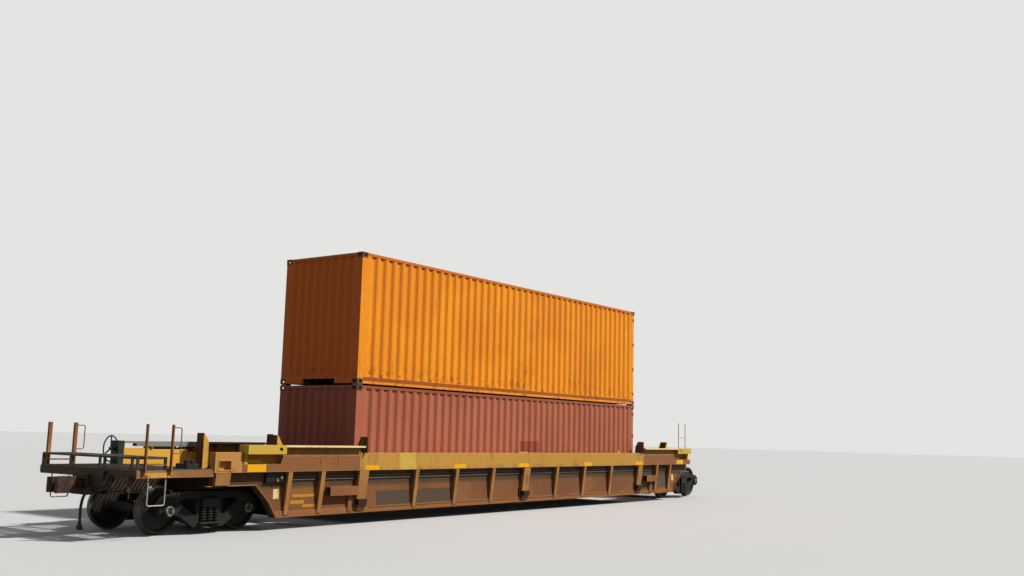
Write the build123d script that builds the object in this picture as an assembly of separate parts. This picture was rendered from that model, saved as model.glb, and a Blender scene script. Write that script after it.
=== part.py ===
"""End unit of an articulated double-stack well wagon, with two 40-foot containers in it.

Millimetres. While it is drawn, X = 0 is the middle of the well, Y = 0 the centreline and Z = 0 the top
of the rail. -X is the coupler end (end A), +X the articulated end (end B), and -Y the near side.
save() moves each piece so that the origin is at the middle of the whole unit, at the flanges' lowest point.
"""
from build123d import *
import math
import os

# Containers: outside sizes of a 40-foot box, one 8 ft 6 in high and one 9 ft 6 in high
container_length = 12192
container_width = 2438
lower_height = 2591
upper_height = 2896
lower_stand_z = 320
stack_gap = 23
lock_flange = (160, 140)
lock_head = (104, 54)
lock_head_reach = 20
casting_length = 178
casting_width = 162
casting_height = 118
casting_wall = 28
casting_inner_wall = 16
casting_spacing_x = 11985
casting_spacing_y = 2259
top_hole_length = 124.5
top_hole_width = 63.5
side_hole_length = 79.5
side_hole_height = 51
frame_inset = 6
underside_lift = 14
top_rail = 60
bottom_rail_height = 148
bottom_rail_width = 48
post_depth = 172
front_post_width = 156
door_post_width = 48
door_header_height = 110
door_frame_depth = 120
front_post_plate = 45
door_post_setback = 30
door_stop = 30
wall_recess = 4
wall_sheet = 2
side_pitch = 278
side_flat = 72
side_depth = 36
front_pitch = 250
front_flat = 55
front_depth = 46
roof_pitch = 209
roof_flat = 45.5
roof_depth = 20
floor_member_height = 122
floor_member_width = 45
floor_member_pitch = 300
floor_board = 28
tunnel_length = 3300
tunnel_width = 1029
tunnel_height = 120
floor_end_margin = 100

# Container doors
door_setback = 75
door_thickness = 50
door_gap = 8
door_clearance = 8
door_border = 95
door_corrugations = 5
hinge_inset_x = 12
hinge_inset_y = 19
hinge_pin_radius = 9
hinge_blade_height = 70
hinge_blade_thickness = 16
hinge_count = 4
hinge_end_margin = 170
hinge_lap = 75
hinge_clearance = 5
lock_rod_radius = 15
lock_rod_standoff = 21
lock_rod_places = (300, 900)
lock_rod_guides = (0.03, 0.24, 0.5, 0.76, 0.97)
handle_height = 900
handle_step = 120
handle_reach = 190
door_panel_margin = 55
door_panel_depth = 32

# Well
well_length = 16256
well_inner_half = 1370
side_sheet = 10
chord_width = 150
chord_bottom_z = 1100
chord_top_z = 1464
chord_end_top_z = 1400
chord_high_half = 6200
side_bottom_z = 215
sill_height = 125
sill_thickness = 18
sill_leg = 120
arch_lip_z = 860
arch_knee_x = 8900
arch_mid_x = 8556
arch_mid_z = 515
arch_foot_x = 8360
lip_overrun = 80
arch_flange = 10
arch_flange_inner = 1235
arch_flange_outer = 1450
post_bottom_z = 262
post_foot = 32
post_wall = 10
slim_post_width = 105
slim_post_places = (-8105, -7220, -4320, -2880, -1440, 1440, 2840, 4320, 7140, 8030)
box_post_width = 270
box_post_places = (-6040, 0, 6040)
box_post_bottom_z = 500
end_post_width = 330
end_post_places = (-9735,)
bearer_height = 85
bearer_width = 260
bearer_plate = 12
bearer_places = (-7300, -6000, -4500, -3000, -1500, 0, 1500, 3000, 4500, 6000, 7300)
brace_width = 90
brace_height = 20
brace_places = (-700, 700)
floor_pad = (160, 150)
cone_base = (100, 52)
pad_thickness = 18
cone_height = 30
bulkhead_plate = 12
bulkhead_depth = 70
seat = 0.3

# End structure
chord_end_x = 9950
chord_end_b_x = 9400
end_b_half = 1000
end_box_length = 620
end_box_top_z = 1470
notch_top_z = 1250
notch_inner_x = 8390
notch_slope = 60
notch_web = 12
notch_web_top_z = 1438
window_length = 270
window_height = 163
window_low_z = 1153
window_border = 18
window_border_proud = 8
window_from_end = 225
window_depth = 90
seam_width = 14
seam_depth = 6
seam_places = (-8105, -7330, -6850, -6120, 0, 6120, 6850, 7330, 8105)
chord_pad = (-420, -20)
chord_pad_height = 30
chord_pad_inset = 10
shear_plate_z = 1045
shear_plate = 10
centre_sill_half = 176
centre_sill_web = 12
centre_sill_bottom_z = 700
sill_flange = 75
body_bolster_length = 350
body_bolster_bottom_z = 800
centre_plate_radius = 178
centre_plate_z = 654
centre_pin_radius = 51
pin_slot_half = 110
bulkhead_top_gap = 20
bulkhead_ribs = (0, 287, 567)
bulkhead_stiffeners = (400, 760, 1200)
rib_plate = 16
sill_plate = 16
sill_bolster_step = 35
bolster_root_y = 296
bolster_side_gap = 10
bolster_web = 12
side_bearing_lift = 36
side_bearing_half = 70
striker_x = 11620
striker_thickness = 80
platform_front_x = 11540
platform_edge = 1500
platform_low_z = 1030
platform_high_z = 1150
platform_plate = 12
platform_flange = 70
platform_cross_width = 60
platform_cross_places = (-11090, -10640, -10010)
deck_top_z = 1170
deck_depth = 40
deck_bars = 18
deck_border = 40
deck_bar = 10
deck_cross_rods = (-1000, -500, 0, 500, 1000)
step_back_x = 10950
step_edge = 1480
step_top_z = 1390
step_bars = 7
step_leg = 40
step_leg_places = (-1460, -500, 500, 1460)
hand_brake_place = (-10080, 1330, 1460)
brake_housing_depth = 120
brake_hub_length = 40
brake_wheel_radius = 250

# Walkway along the top at each end
walkway_outer_y = 1620
walkway_inner_y = 1350
walkway_top_z = 1609
walkway_web_inset = 10
walkway_lip = 35
walkway_plate = 8
walkway_well_end_x = 6150
walkway_far_end_x = 8340
yellow_plate = 12
yellow_plate_bottom_z = 1440
yellow_plate_end_x = 9280
yellow_plate_hole = 45
yellow_plate_hole_x = 8480
walkway_leg_x = 80
walkway_bracket_places = (-6400, -7000, -7600, -8200)
plank_depth = 100
plank_edge = 8
plank_shallow = 40
plank_deep_x = (7900, 9640)
plank_end_x = 10010
plank_width = 140
plank_feet = (-9900, -9400)
plank_foot = 50
plank_foot_thickness = 30

# Fittings on the sides: pipes, valve box, brackets, sockets under the box posts
pipe_radius = 14
pipe_heights = (930, 1000)
pipe_end_x = 8250
pipe_slot_depth = 50
pipe_slot_margin = 30
valve_box_x = (-8660, -8200)
valve_box_z = (900, 1070)
valve_box_depth = 60
valve_bosses = ((-8290, 985), (-8390, 935))
valve_boss_radius = 30
valve_boss_depth = 25
bracket_boxes = ((-7020, -6200, -6410, -6290), (6420, 7080, 6750, 6950))
bracket_z = (595, 775)
bracket_wall = 8
bracket_foot_z = 250
bracket_foot_depths = (32, 60)
socket_width = 250
socket_depth = 120
socket_z = (390, 500)
socket_foot_depths = (40, 100)

# Guides for the containers
guide_plate = 16
corner_guide_x = 6076
corner_guide_top_z = 1800
corner_guide_inner = 1285
corner_guide_outer = 1600
corner_guide_top_inner = 1390
corner_guide_throat = (1310, 150)
corner_guide_rib = (60, 25, 40)
end_guide_span = (1020, 1250)
end_guide_back_x = 8270
end_guide_front_x = 8135
end_guide_top_z = 1800
end_guide_nose = (15, 180)
lug_place = 4775
lug_size = (75, 106, 16)

# Fittings at the ends: stanchions, grab irons, steps, uncoupling lever, brake valves, marker rods
stanchion_places = (-11400, -10880)
stanchion_leg = 60
stanchion_plate = 8
stanchion_low_z = 1070
stanchion_top_z = 1950
tread_z = (1250, 1270)
tread_inner = 1300
grab_radius = 10
grab_loop_reach = 150
grab_loop_z = (1450, 1900)
grab_loop_bend = 40
grab_iron_x = (-11350, -10930)
grab_iron_stand = 60
grab_iron_z = (1050, 1090)
grip_plate_z = (1030, 1120)
stirrup_x = (-11310, -10960)
stirrup_low_z = 560
stirrup_radius = 12.5
lever_radius = 11
lever_x = -11640
lever_points = ((-300, 740), (-430, 748), (-810, 840), (-1420, 880), (-1450, 680))
lever_brackets = (-790, -1380)
lever_bracket_z = (810, 1060)
lever_bracket_plate = 12
lever_bend = 45
end_bracket_y = (-620, -250)
end_bracket_z = (850, 1120)
end_bracket_depth = 60
end_bracket_wall = 8
cock_plate = (90, 50)
hose_radius = 25
hose_bend = 200
hose_y = -330
hose_route = ((-11700, 770), (-11765, 700), (-11800, 560), (-11810, 400), (-11800, 250))
cock_radius = 28
cock_start_x = -11560
cock_length = 60
hose_head_radius = 45
hose_head_width = 64
hose_ferrule_length = 58
hose_ferrule_wall = 4
brake_valve_x = (-10380, -10120)
brake_valve_y = (-1280, -950)
brake_valve_height = 90
brake_valve_cap_radius = 55
brake_valve_cap_height = 60
brake_valve_cap_inset = 70
brake_valve_chamber = (46, 60)
marker_rod_places = (8400, 8870)
marker_rod_radius = 12.5
marker_rod_top_z = 2420
marker_rung_z = 1960

# Running gear: end truck (33-inch wheels) and shared truck (38-inch wheels)
truck_a_x = -9670
truck_a_wheel_radius = 419
truck_a_wheelbase = 1778
truck_b_x = 9750
truck_b_wheel_radius = 483
truck_b_wheelbase = 1829
flange_depth = 25.4
flange_width = 30
wheel_width = 140
wheel_back_spacing = 1353
rim_thickness = 62
hub_radius = 150
hub_width = 165
plate_thickness = 26
axle_radius = 90
wheel_seat_radius = 112
journal_radius = 82
journal_spacing = 2007
bearing_radius = 122
bearing_width = 180
bearing_clearance = 0.3
end_cap_radius = 92
end_cap_length = 42
side_frame_width = 150
side_frame_top_z = 746
side_frame_bottom_z = 105
side_frame_rib = 38
window_half = 225
window_bottom_z = 190
window_top_z = 640
bolster_clearance = 12
bolster_end_height = 170
bolster_end_top_z = 625
spring_radius = 68
spring_coils = 5
spring_groove = 16
spring_columns = (-145, 0, 145)
spring_rows = (-72, 72)
side_bearing_y = 635
side_bearing_gap = 8
brake_shoe_gap = 8
brake_beam_drop = 60
brake_guide = 14

# Coupler
coupler_z = 876
pulling_face_x = 12120
knuckle_reach = 92
shank_half_width = 65
shank_half_height = 68
head_half_height = 140

# What the sizes above give
half_container = container_length / 2
half_width = container_width / 2
chord_outer = well_inner_half + chord_width
sheet_outer = well_inner_half + side_sheet
half_well = well_length / 2
front_reach = pulling_face_x + knuckle_reach
rear_reach = truck_b_x + truck_b_wheelbase / 2 + truck_b_wheel_radius + flange_depth
well_centre_x = (front_reach - rear_reach) / 2
upper_stand_z = lower_stand_z + lower_height + stack_gap
door_edge = half_width - frame_inset - door_post_width - door_clearance
hinge_reach = half_width - hinge_inset_y - door_edge + hinge_lap


def block(x0, x1, y0, y1, z0, z1):
    """A box between two corners."""
    return Pos((x0 + x1) / 2, (y0 + y1) / 2, (z0 + z1) / 2) * Box(x1 - x0, y1 - y0, z1 - z0)


def side_slab(points, y0, y1):
    """An outline of X, Z points, made solid from y0 to y1."""
    outline = Plane.XZ.offset(-y1) * make_face(Polyline(*points, close=True))
    return extrude(outline, y1 - y0)


def end_slab(points, x0, x1):
    """An outline of Y, Z points, made solid from x0 to x1."""
    outline = Plane.YZ.offset(x0) * make_face(Polyline(*points, close=True))
    return extrude(outline, x1 - x0)


def plan_slab(points, z0, z1):
    """An outline of X, Y points, made solid from z0 to z1."""
    outline = Plane.XY.offset(z0) * make_face(Polyline(*points, close=True))
    return extrude(outline, z1 - z0)


def rod_x(x0, x1, y, z, radius):
    return Pos((x0 + x1) / 2, y, z) * Rot(0, 90, 0) * Cylinder(radius, x1 - x0)


def rod_y(y0, y1, x, z, radius):
    return Pos(x, (y0 + y1) / 2, z) * Rot(90, 0, 0) * Cylinder(radius, y1 - y0)


def rod_z(z0, z1, x, y, radius):
    return Pos(x, y, (z0 + z1) / 2) * Cylinder(radius, z1 - z0)


def pipe(points, radius, bend):
    """A round bar or pipe along a route of X, Y, Z points with rounded corners."""
    route = FilletPolyline(*points, radius=bend) if len(points) > 2 else Line(*points)
    start = Plane(origin=route @ 0, z_dir=route % 0)
    return sweep(start * Circle(radius), path=route)


def other_side(shape):
    return mirror(shape, about=Plane.XZ)


def other_end(shape):
    return mirror(shape, about=Plane.YZ)


def save(node, *pieces):
    solids = [solid for piece in pieces for solid in piece.solids()]
    place = Location((well_centre_x, 0, flange_depth))
    export_step(Compound(solids).moved(place), f"parts/{node}.step")


def corrugated_line(start, end, pitch, flat, depth):
    """A trapezoidal line from start to end: pairs of the place along it and the depth there."""
    slope = (pitch - 2 * flat) / 2
    count = int((end - start - flat) // pitch)
    first = start + (end - start - count * pitch - flat) / 2 + flat
    line = [(start, 0)]
    for n in range(count):
        along = first + n * pitch
        line.append((along, 0))
        line.append((along + slope, depth))
        line.append((along + slope + flat, depth))
        line.append((along + 2 * slope + flat, 0))
    line.append((end, 0))
    return line


def corrugated_outline(start, end, pitch, flat, depth):
    """The closed section of a pressed sheet: its outer line, and its inner line one sheet deeper."""
    line = corrugated_line(start, end, pitch, flat, depth)
    return line + [(along, deep + wall_sheet) for along, deep in reversed(line)]


def corner_casting(corner_x, corner_y, z, x_side, y_side, on_top):
    """A hollow corner casting with its three holes; x_side and y_side point out of the container."""
    centre_x = corner_x - x_side * casting_length / 2
    centre_y = corner_y - y_side * casting_width / 2
    hole_x = x_side * casting_spacing_x / 2
    hole_y = y_side * casting_spacing_y / 2
    middle_z = z + casting_height / 2
    body = Pos(centre_x, centre_y, middle_z) * Box(casting_length, casting_width, casting_height)
    low = z + (casting_inner_wall if on_top else casting_wall)
    high = z + casting_height - (casting_wall if on_top else casting_inner_wall)
    hollow = Box(casting_length - casting_wall, casting_width - casting_wall, high - low)
    body -= Pos(centre_x, centre_y, (low + high) / 2) * hollow
    slot = Pos(hole_x, hole_y, z + casting_height if on_top else z) * SlotOverall(top_hole_length, top_hole_width)
    body -= extrude(slot, casting_wall, both=True)
    side_slot = Plane.XZ * SlotOverall(side_hole_length, side_hole_height)
    body -= Pos(hole_x, corner_y, middle_z) * extrude(side_slot, casting_wall, both=True)
    end_slot = Plane.YZ * SlotOverall(side_hole_length, side_hole_height)
    body -= Pos(corner_x, hole_y, middle_z) * extrude(end_slot, casting_wall, both=True)
    return body


def hinge_heights(z, height):
    """Middle heights of one leaf's hinges."""
    low = z + bottom_rail_height + hinge_end_margin
    high = z + height - door_header_height - hinge_end_margin
    return [low + (high - low) * n / (hinge_count - 1) for n in range(hinge_count)]


def container_frame(z, height, top_apart):
    """Posts with their castings, and the rails between them, each seated just clear of the next."""
    inner = half_container - casting_length
    casting_heights = [z] if top_apart else [z, z + height - casting_height]
    pieces = []
    for y_side in (-1, 1):
        edge = y_side * (half_width - frame_inset)
        # Front post, an angle round the corner
        front = -half_container + frame_inset
        post_z0 = z + casting_height
        post_z1 = z + height - casting_height - (seat if top_apart else 0)
        plate_y = edge - y_side * front_post_plate
        side_leg = block(front, front + post_depth, *sorted((edge, plate_y)), post_z0, post_z1)
        inner_y = edge - y_side * front_post_width
        end_leg = block(front, front + front_post_plate, *sorted((edge, inner_y)), post_z0, post_z1)
        post = side_leg + end_leg
        for casting_z in casting_heights:
            post += corner_casting(-half_container, y_side * half_width, casting_z, -1, y_side, casting_z > z)
        pieces.append(post)
        # Door post: a channel outside and a flange that the leaf closes against
        back = half_container - door_post_setback
        post = block(inner, back, *sorted((edge, edge - y_side * door_post_width)), post_z0, post_z1)
        stop_x = half_container - door_setback - door_thickness - 10
        flange_y = edge - y_side * front_post_width
        post += block(stop_x - door_stop, stop_x, *sorted((edge, flange_y)), post_z0, post_z1)
        hinge_x = half_container - hinge_inset_x
        hinge_y = y_side * (half_width - hinge_inset_y)
        for middle in hinge_heights(z, height):
            half_notch = hinge_blade_height / 2 + door_clearance
            notch_y = hinge_y - y_side * (hinge_blade_thickness / 2 + door_clearance)
            notch_x = hinge_x - hinge_reach - hinge_clearance
            notch_box = (notch_x, half_container, *sorted((notch_y, edge + y_side * 5)))
            post -= block(*notch_box, middle - half_notch, middle + half_notch)
            for lug_side in (-1, 1):
                lug_z = middle + lug_side * (half_notch + 12)
                lug = block(back - 5, half_container - 2, hinge_y - 12, hinge_y + 12, lug_z - 12, lug_z + 12)
                post += lug - rod_z(lug_z - 13, lug_z + 13, hinge_x, hinge_y, hinge_pin_radius + seat)
        for casting_z in casting_heights:
            post += corner_casting(half_container, y_side * half_width, casting_z, 1, y_side, casting_z > z)
        pieces.append(post)
        # Side rails
        top_z = z + height - frame_inset
        rail_y = sorted((edge, edge - y_side * top_rail))
        pieces.append(block(-inner + seat, inner - seat, *rail_y, top_z - top_rail, top_z))
        low_z = z + underside_lift
        rail_y = sorted((edge, edge - y_side * bottom_rail_width))
        pieces.append(block(-inner + seat, inner - seat, *rail_y, low_z, low_z + bottom_rail_height))
    reach = half_width - casting_width - seat
    front = -half_container + frame_inset
    top_z = z + height - frame_inset
    low_z = z + underside_lift
    pieces.append(block(front, front + top_rail, -reach, reach, top_z - top_rail, top_z))
    front_sill = block(front, front + top_rail, -reach, reach, low_z, low_z + bottom_rail_height)
    tunnel_half = tunnel_width / 2
    front_sill -= block(front - 1, front + top_rail + 1, -tunnel_half, tunnel_half, low_z - 1, z + tunnel_height)
    pieces.append(front_sill)
    back = half_container - frame_inset
    pieces.append(block(back - door_frame_depth, back, -reach, reach, top_z - door_header_height, top_z))
    pieces.append(block(back - door_frame_depth, back, -reach, reach, low_z, low_z + bottom_rail_height))
    return pieces


def top_castings(z, height):
    """The four lifting castings of a container, seated on its posts."""
    return [corner_casting(a * half_container, b * half_width, z + height - casting_height, a, b, True)
            for a in (-1, 1) for b in (-1, 1)]


def container_walls(z, height):
    """Two corrugated sides and the corrugated front."""
    low = z + underside_lift + bottom_rail_height + seat
    high = z + height - frame_inset - top_rail - seat
    outer = half_width - frame_inset - wall_recess
    back_x = half_container - casting_length - seat
    front_x = -back_x
    outline = corrugated_outline(front_x, back_x, side_pitch, side_flat, side_depth)
    near = plan_slab([(x, -outer + deep) for x, deep in outline], low, high)
    reach = half_width - casting_width - seat
    outline = corrugated_outline(-reach, reach, front_pitch, front_flat, front_depth)
    wall_x = -half_container + frame_inset + wall_recess
    front = plan_slab([(wall_x + deep, y) for y, deep in outline], low, high)
    return [near, other_side(near), front]


def corner_cuts(z0, z1):
    """The room that the four corner posts and castings take from a sheet or floor."""
    x = half_container - casting_length - seat
    y = half_width - casting_width - seat
    return [block(*sorted((a * x, a * half_container)), *sorted((b * y, b * half_width)), z0, z1)
            for a in (-1, 1) for b in (-1, 1)]


def container_roof(z, height):
    front_x = -half_container + frame_inset + top_rail + seat
    back_x = half_container - frame_inset - door_frame_depth - seat
    top = z + height - frame_inset - wall_recess
    reach = half_width - frame_inset - top_rail - seat
    outline = corrugated_outline(front_x, back_x, roof_pitch, roof_flat, roof_depth)
    sheet = side_slab([(x, top - deep) for x, deep in outline], -reach, reach)
    return sheet - corner_cuts(top - 100, top + 1)


def container_floor(z):
    """Boards on cross members; over the gooseneck tunnel the members stop at its plate."""
    front_x = -half_container + frame_inset + top_rail + seat
    back_x = half_container - frame_inset - door_frame_depth - seat
    reach = half_width - frame_inset - bottom_rail_width - seat
    board_z = z + underside_lift + floor_member_height
    tunnel_end = front_x + tunnel_length
    tunnel_half = tunnel_width / 2
    boards = block(front_x, back_x, -reach, reach, board_z, board_z + floor_board)
    pieces = [block(front_x, tunnel_end, -tunnel_half, tunnel_half, z + tunnel_height, board_z)]
    count = int((back_x - front_x - 2 * floor_end_margin) // floor_member_pitch)
    for n in range(count + 1):
        x = front_x + floor_end_margin + n * floor_member_pitch
        spans = [(-reach, reach)]
        if x < tunnel_end:
            spans = [(-reach, -tunnel_half), (tunnel_half, reach)]
        for y0, y1 in spans:
            pieces.append(block(x, x + floor_member_width, y0, y1, z + underside_lift, board_z))
    return boards + pieces - corner_cuts(z - 1, board_z + floor_board + 1)


def container_door(z, height, y_side):
    """One leaf: frame, pressed panel, two lock rods with handles, and hinge blades with their pins."""
    outer_x = half_container - door_setback
    inner_x = outer_x - door_thickness
    low = z + underside_lift + bottom_rail_height + door_clearance
    high = z + height - frame_inset - door_header_height - door_clearance
    y0, y1 = door_gap, door_edge
    leaf = block(inner_x, outer_x, y0, y1, low, high)
    cuts = []
    band = (high - low - 2 * door_border) / door_corrugations
    for n in range(door_corrugations):
        middle = low + door_border + (n + 0.5) * band
        panel_y = (y0 + door_panel_margin, y1 - door_panel_margin)
        floor_x = outer_x - door_panel_depth
        cuts.append(block(floor_x, outer_x + 1, *panel_y, middle - 0.32 * band, middle + 0.32 * band))
        cuts.append(block(inner_x - 1, floor_x - wall_sheet, *panel_y, middle - 0.47 * band, middle + 0.47 * band))
    fittings = []
    rod_x_place = outer_x + lock_rod_standoff
    for place in lock_rod_places:
        fittings.append(rod_z(low + 10, high - 10, rod_x_place, place, lock_rod_radius))
        for share in lock_rod_guides:
            at = low + (high - low) * share
            fittings.append(block(outer_x - 40, rod_x_place + 8, place - 45, place + 45, at - 25, at + 25))
        handle_z = low + handle_height - handle_step * lock_rod_places.index(place)
        arm = (rod_x_place - 8, rod_x_place + 10)
        fittings.append(block(outer_x - 40, arm[1] - 4, place - 25, place + 25, handle_z - 20, handle_z + 20))
        tip = place + handle_reach
        fittings.append(block(*arm, place - 20, tip, handle_z - 12, handle_z + 12))
        fittings.append(block(outer_x - 40, rod_x_place, tip - 20, tip, handle_z - 22, handle_z + 22))
    hinge_x = half_container - hinge_inset_x
    hinge_y = half_width - hinge_inset_y
    half_blade = hinge_blade_height / 2
    thick = hinge_blade_thickness / 2
    for middle in hinge_heights(z, height):
        span = (middle - half_blade, middle + half_blade)
        root = door_edge - hinge_lap
        fittings.append(block(hinge_x - thick, hinge_x + thick, root, hinge_y, *span))
        fittings.append(block(inner_x + 10, hinge_x + thick, root, root + 20, *span))
        pin_half = half_blade + door_clearance + 20
        fittings.append(rod_z(middle - pin_half, middle + pin_half, hinge_x, hinge_y, hinge_pin_radius))
    leaf = leaf - cuts + fittings
    return leaf if y_side > 0 else other_side(leaf)


def corner_lock(x_side, y_side):
    """The lock between two stacked castings: a flange with a head above and below it."""
    x = x_side * casting_spacing_x / 2
    y = y_side * casting_spacing_y / 2
    z = lower_stand_z + lower_height
    flange = Pos(x, y, z + stack_gap / 2) * Box(*lock_flange, stack_gap - 2 * seat)
    head = extrude(Pos(x, y, z - lock_head_reach) * SlotOverall(*lock_head), 2 * lock_head_reach + stack_gap)
    return flange + head


def side_wall():
    """Near side sheet with its bottom angle, arch flanges and posts, each seated clear of the sheet."""
    top = chord_bottom_z - seat
    outline = [(-chord_end_x, top), (-chord_end_x, arch_lip_z), (-arch_knee_x, arch_lip_z)]
    outline += [(-arch_mid_x, arch_mid_z), (-arch_foot_x, side_bottom_z)]
    outline += [(min(-x, chord_end_b_x), z) for x, z in reversed(outline)]
    sheet = side_slab(outline, -sheet_outer, -well_inner_half)
    heel_x = arch_foot_x + sill_height * (arch_mid_x - arch_foot_x) / (arch_mid_z - side_bottom_z)
    angle_top = side_bottom_z + sill_height
    angle = side_slab([(-arch_foot_x, side_bottom_z), (arch_foot_x, side_bottom_z), (heel_x, angle_top),
                       (-heel_x, angle_top)], -sheet_outer - sill_thickness, -sheet_outer)
    inner = -well_inner_half + sill_leg
    angle += block(-half_well, half_well, -sheet_outer, inner, side_bottom_z, side_bottom_z + sill_thickness)
    lips = []
    for end_x in (chord_end_x, chord_end_b_x):
        knee = [(-end_x - lip_overrun, arch_lip_z), (-arch_knee_x, arch_lip_z), (-arch_mid_x, arch_mid_z),
                (-arch_foot_x, side_bottom_z)]
        band = knee + [(x - arch_flange, z - arch_flange * (x <= -arch_knee_x)) for x, z in reversed(knee)]
        lips.append(side_slab(band, -arch_flange_outer, -arch_flange_inner))
    sheet = sheet + angle + lips[0] + other_end(lips[1])
    pieces = [sheet]
    face_top = chord_outer - 5
    posts = [(x, slim_post_width, post_bottom_z) for x in slim_post_places]
    posts += [(x, box_post_width, box_post_bottom_z) for x in box_post_places]
    posts += [(x, end_post_width, arch_lip_z + arch_flange) for x in end_post_places]
    for x, width, low in posts:
        back = sheet_outer + seat
        clear = sill_thickness if low < side_bottom_z + sill_height else 0
        share = (low - post_bottom_z) / (top - post_bottom_z)
        foot = sheet_outer + post_foot + (face_top - sheet_outer - post_foot) * share
        post = end_slab([(-back, low), (-foot, low), (-face_top, top), (-back, top)], x - width / 2, x + width / 2)
        wall = post_wall
        hollow = [(-back - clear, low - 1), (-foot + wall, low - 1), (-face_top + wall, top - wall),
                  (-back, top - wall)]
        post -= end_slab(hollow, x - width / 2 + wall, x + width / 2 - wall)
        if clear:
            heel = (-sheet_outer - sill_thickness - seat, -sheet_outer + 1)
            post -= block(x - width, x + width, *heel, low - 2, side_bottom_z + sill_height + seat)
        if abs(x) < pipe_end_x:
            slot_y = (-sheet_outer - pipe_slot_depth, -sheet_outer + 1)
            slot_z = (pipe_heights[0] - pipe_slot_margin, pipe_heights[-1] + pipe_slot_margin)
            post -= block(x - width, x + width, *slot_y, *slot_z)
        pieces.append(post)
    return pieces


def side_fittings():
    """Near side: two pipes, the valve box, two bracket boxes with feet, and a socket under each box post."""
    back = -sheet_outer - seat
    heel = -sheet_outer - sill_thickness - seat
    heel_z = side_bottom_z + sill_height + seat
    pipes = [rod_x(valve_box_x[1] + seat, pipe_end_x, back - pipe_radius, z, pipe_radius) for z in pipe_heights]
    box = block(*valve_box_x, back - valve_box_depth, back, *valve_box_z)
    for boss_x, boss_z in valve_bosses:
        front = back - valve_box_depth
        box += rod_y(front - valve_boss_depth, front + 1, boss_x, boss_z, valve_boss_radius)
    fittings = []
    for x0, x1, foot_x0, foot_x1 in bracket_boxes:
        low, high = bracket_z
        wall = bracket_wall
        bracket = block(x0, x1, -chord_outer, back, low, high)
        bracket -= block(x0 - 1, x1 - wall, -chord_outer + wall, back - wall, low + wall, high - wall)
        narrow, wide = bracket_foot_depths
        foot = [(heel, bracket_foot_z), (-sheet_outer - narrow, bracket_foot_z), (-sheet_outer - wide, low + 1),
                (back, low + 1), (back, heel_z), (heel, heel_z)]
        fittings.append(bracket + end_slab(foot, foot_x0, foot_x1))
    for x in box_post_places:
        low, high = socket_z
        narrow, wide = socket_foot_depths
        socket = block(x - socket_width / 2, x + socket_width / 2, back - socket_depth, back, low, high - seat)
        foot = [(heel, post_bottom_z), (-sheet_outer - narrow, post_bottom_z), (-sheet_outer - wide, low + 1),
                (back, low + 1), (back, heel_z), (heel, heel_z)]
        fittings.append(socket + end_slab(foot, x - socket_width / 2, x + socket_width / 2))
    return pipes, box, fittings


def top_chord():
    """Near top chord: high between the 40-foot corners, lower and notched beyond, with a box at end A."""
    base = chord_bottom_z
    box_x = chord_end_x - end_box_length
    slope = [(chord_high_half, chord_top_z), (chord_high_half, chord_end_top_z),
             (notch_inner_x - notch_slope, chord_end_top_z), (notch_inner_x, notch_top_z)]
    box = [(box_x, notch_top_z), (box_x, end_box_top_z), (chord_end_x, end_box_top_z), (chord_end_x, base)]
    end_b = slope + [(chord_end_b_x, notch_top_z), (chord_end_b_x, base)]
    outline = [(-x, z) for x, z in slope + box] + list(reversed(end_b))
    chord = side_slab(outline, -chord_outer, -well_inner_half)
    for x in seam_places:
        chord -= block(x - seam_width / 2, x + seam_width / 2, -chord_outer - 1, -chord_outer + seam_depth,
                       base - 1, chord_top_z + 1)
    chord += block(*chord_pad, -chord_outer + chord_pad_inset, -well_inner_half - chord_pad_inset,
                   chord_top_z - 1, chord_top_z + chord_pad_height)
    for notch in ((-box_x, -notch_inner_x + 1), (notch_inner_x - 1, chord_end_b_x)):
        chord += block(*notch, -well_inner_half - notch_web, -well_inner_half, notch_top_z - 1, notch_web_top_z)
    middle = -chord_end_x + window_from_end
    long = window_length / 2
    edge = window_border
    window_z = (window_low_z, window_low_z + window_height)
    chord += block(middle - long - edge, middle + long + edge, -chord_outer - window_border_proud, -chord_outer + 1,
                   window_z[0] - edge, window_z[1] + edge)
    return chord - block(middle - long, middle + long, -chord_outer - window_border_proud - 1,
                         -chord_outer + window_depth, *window_z)


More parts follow.
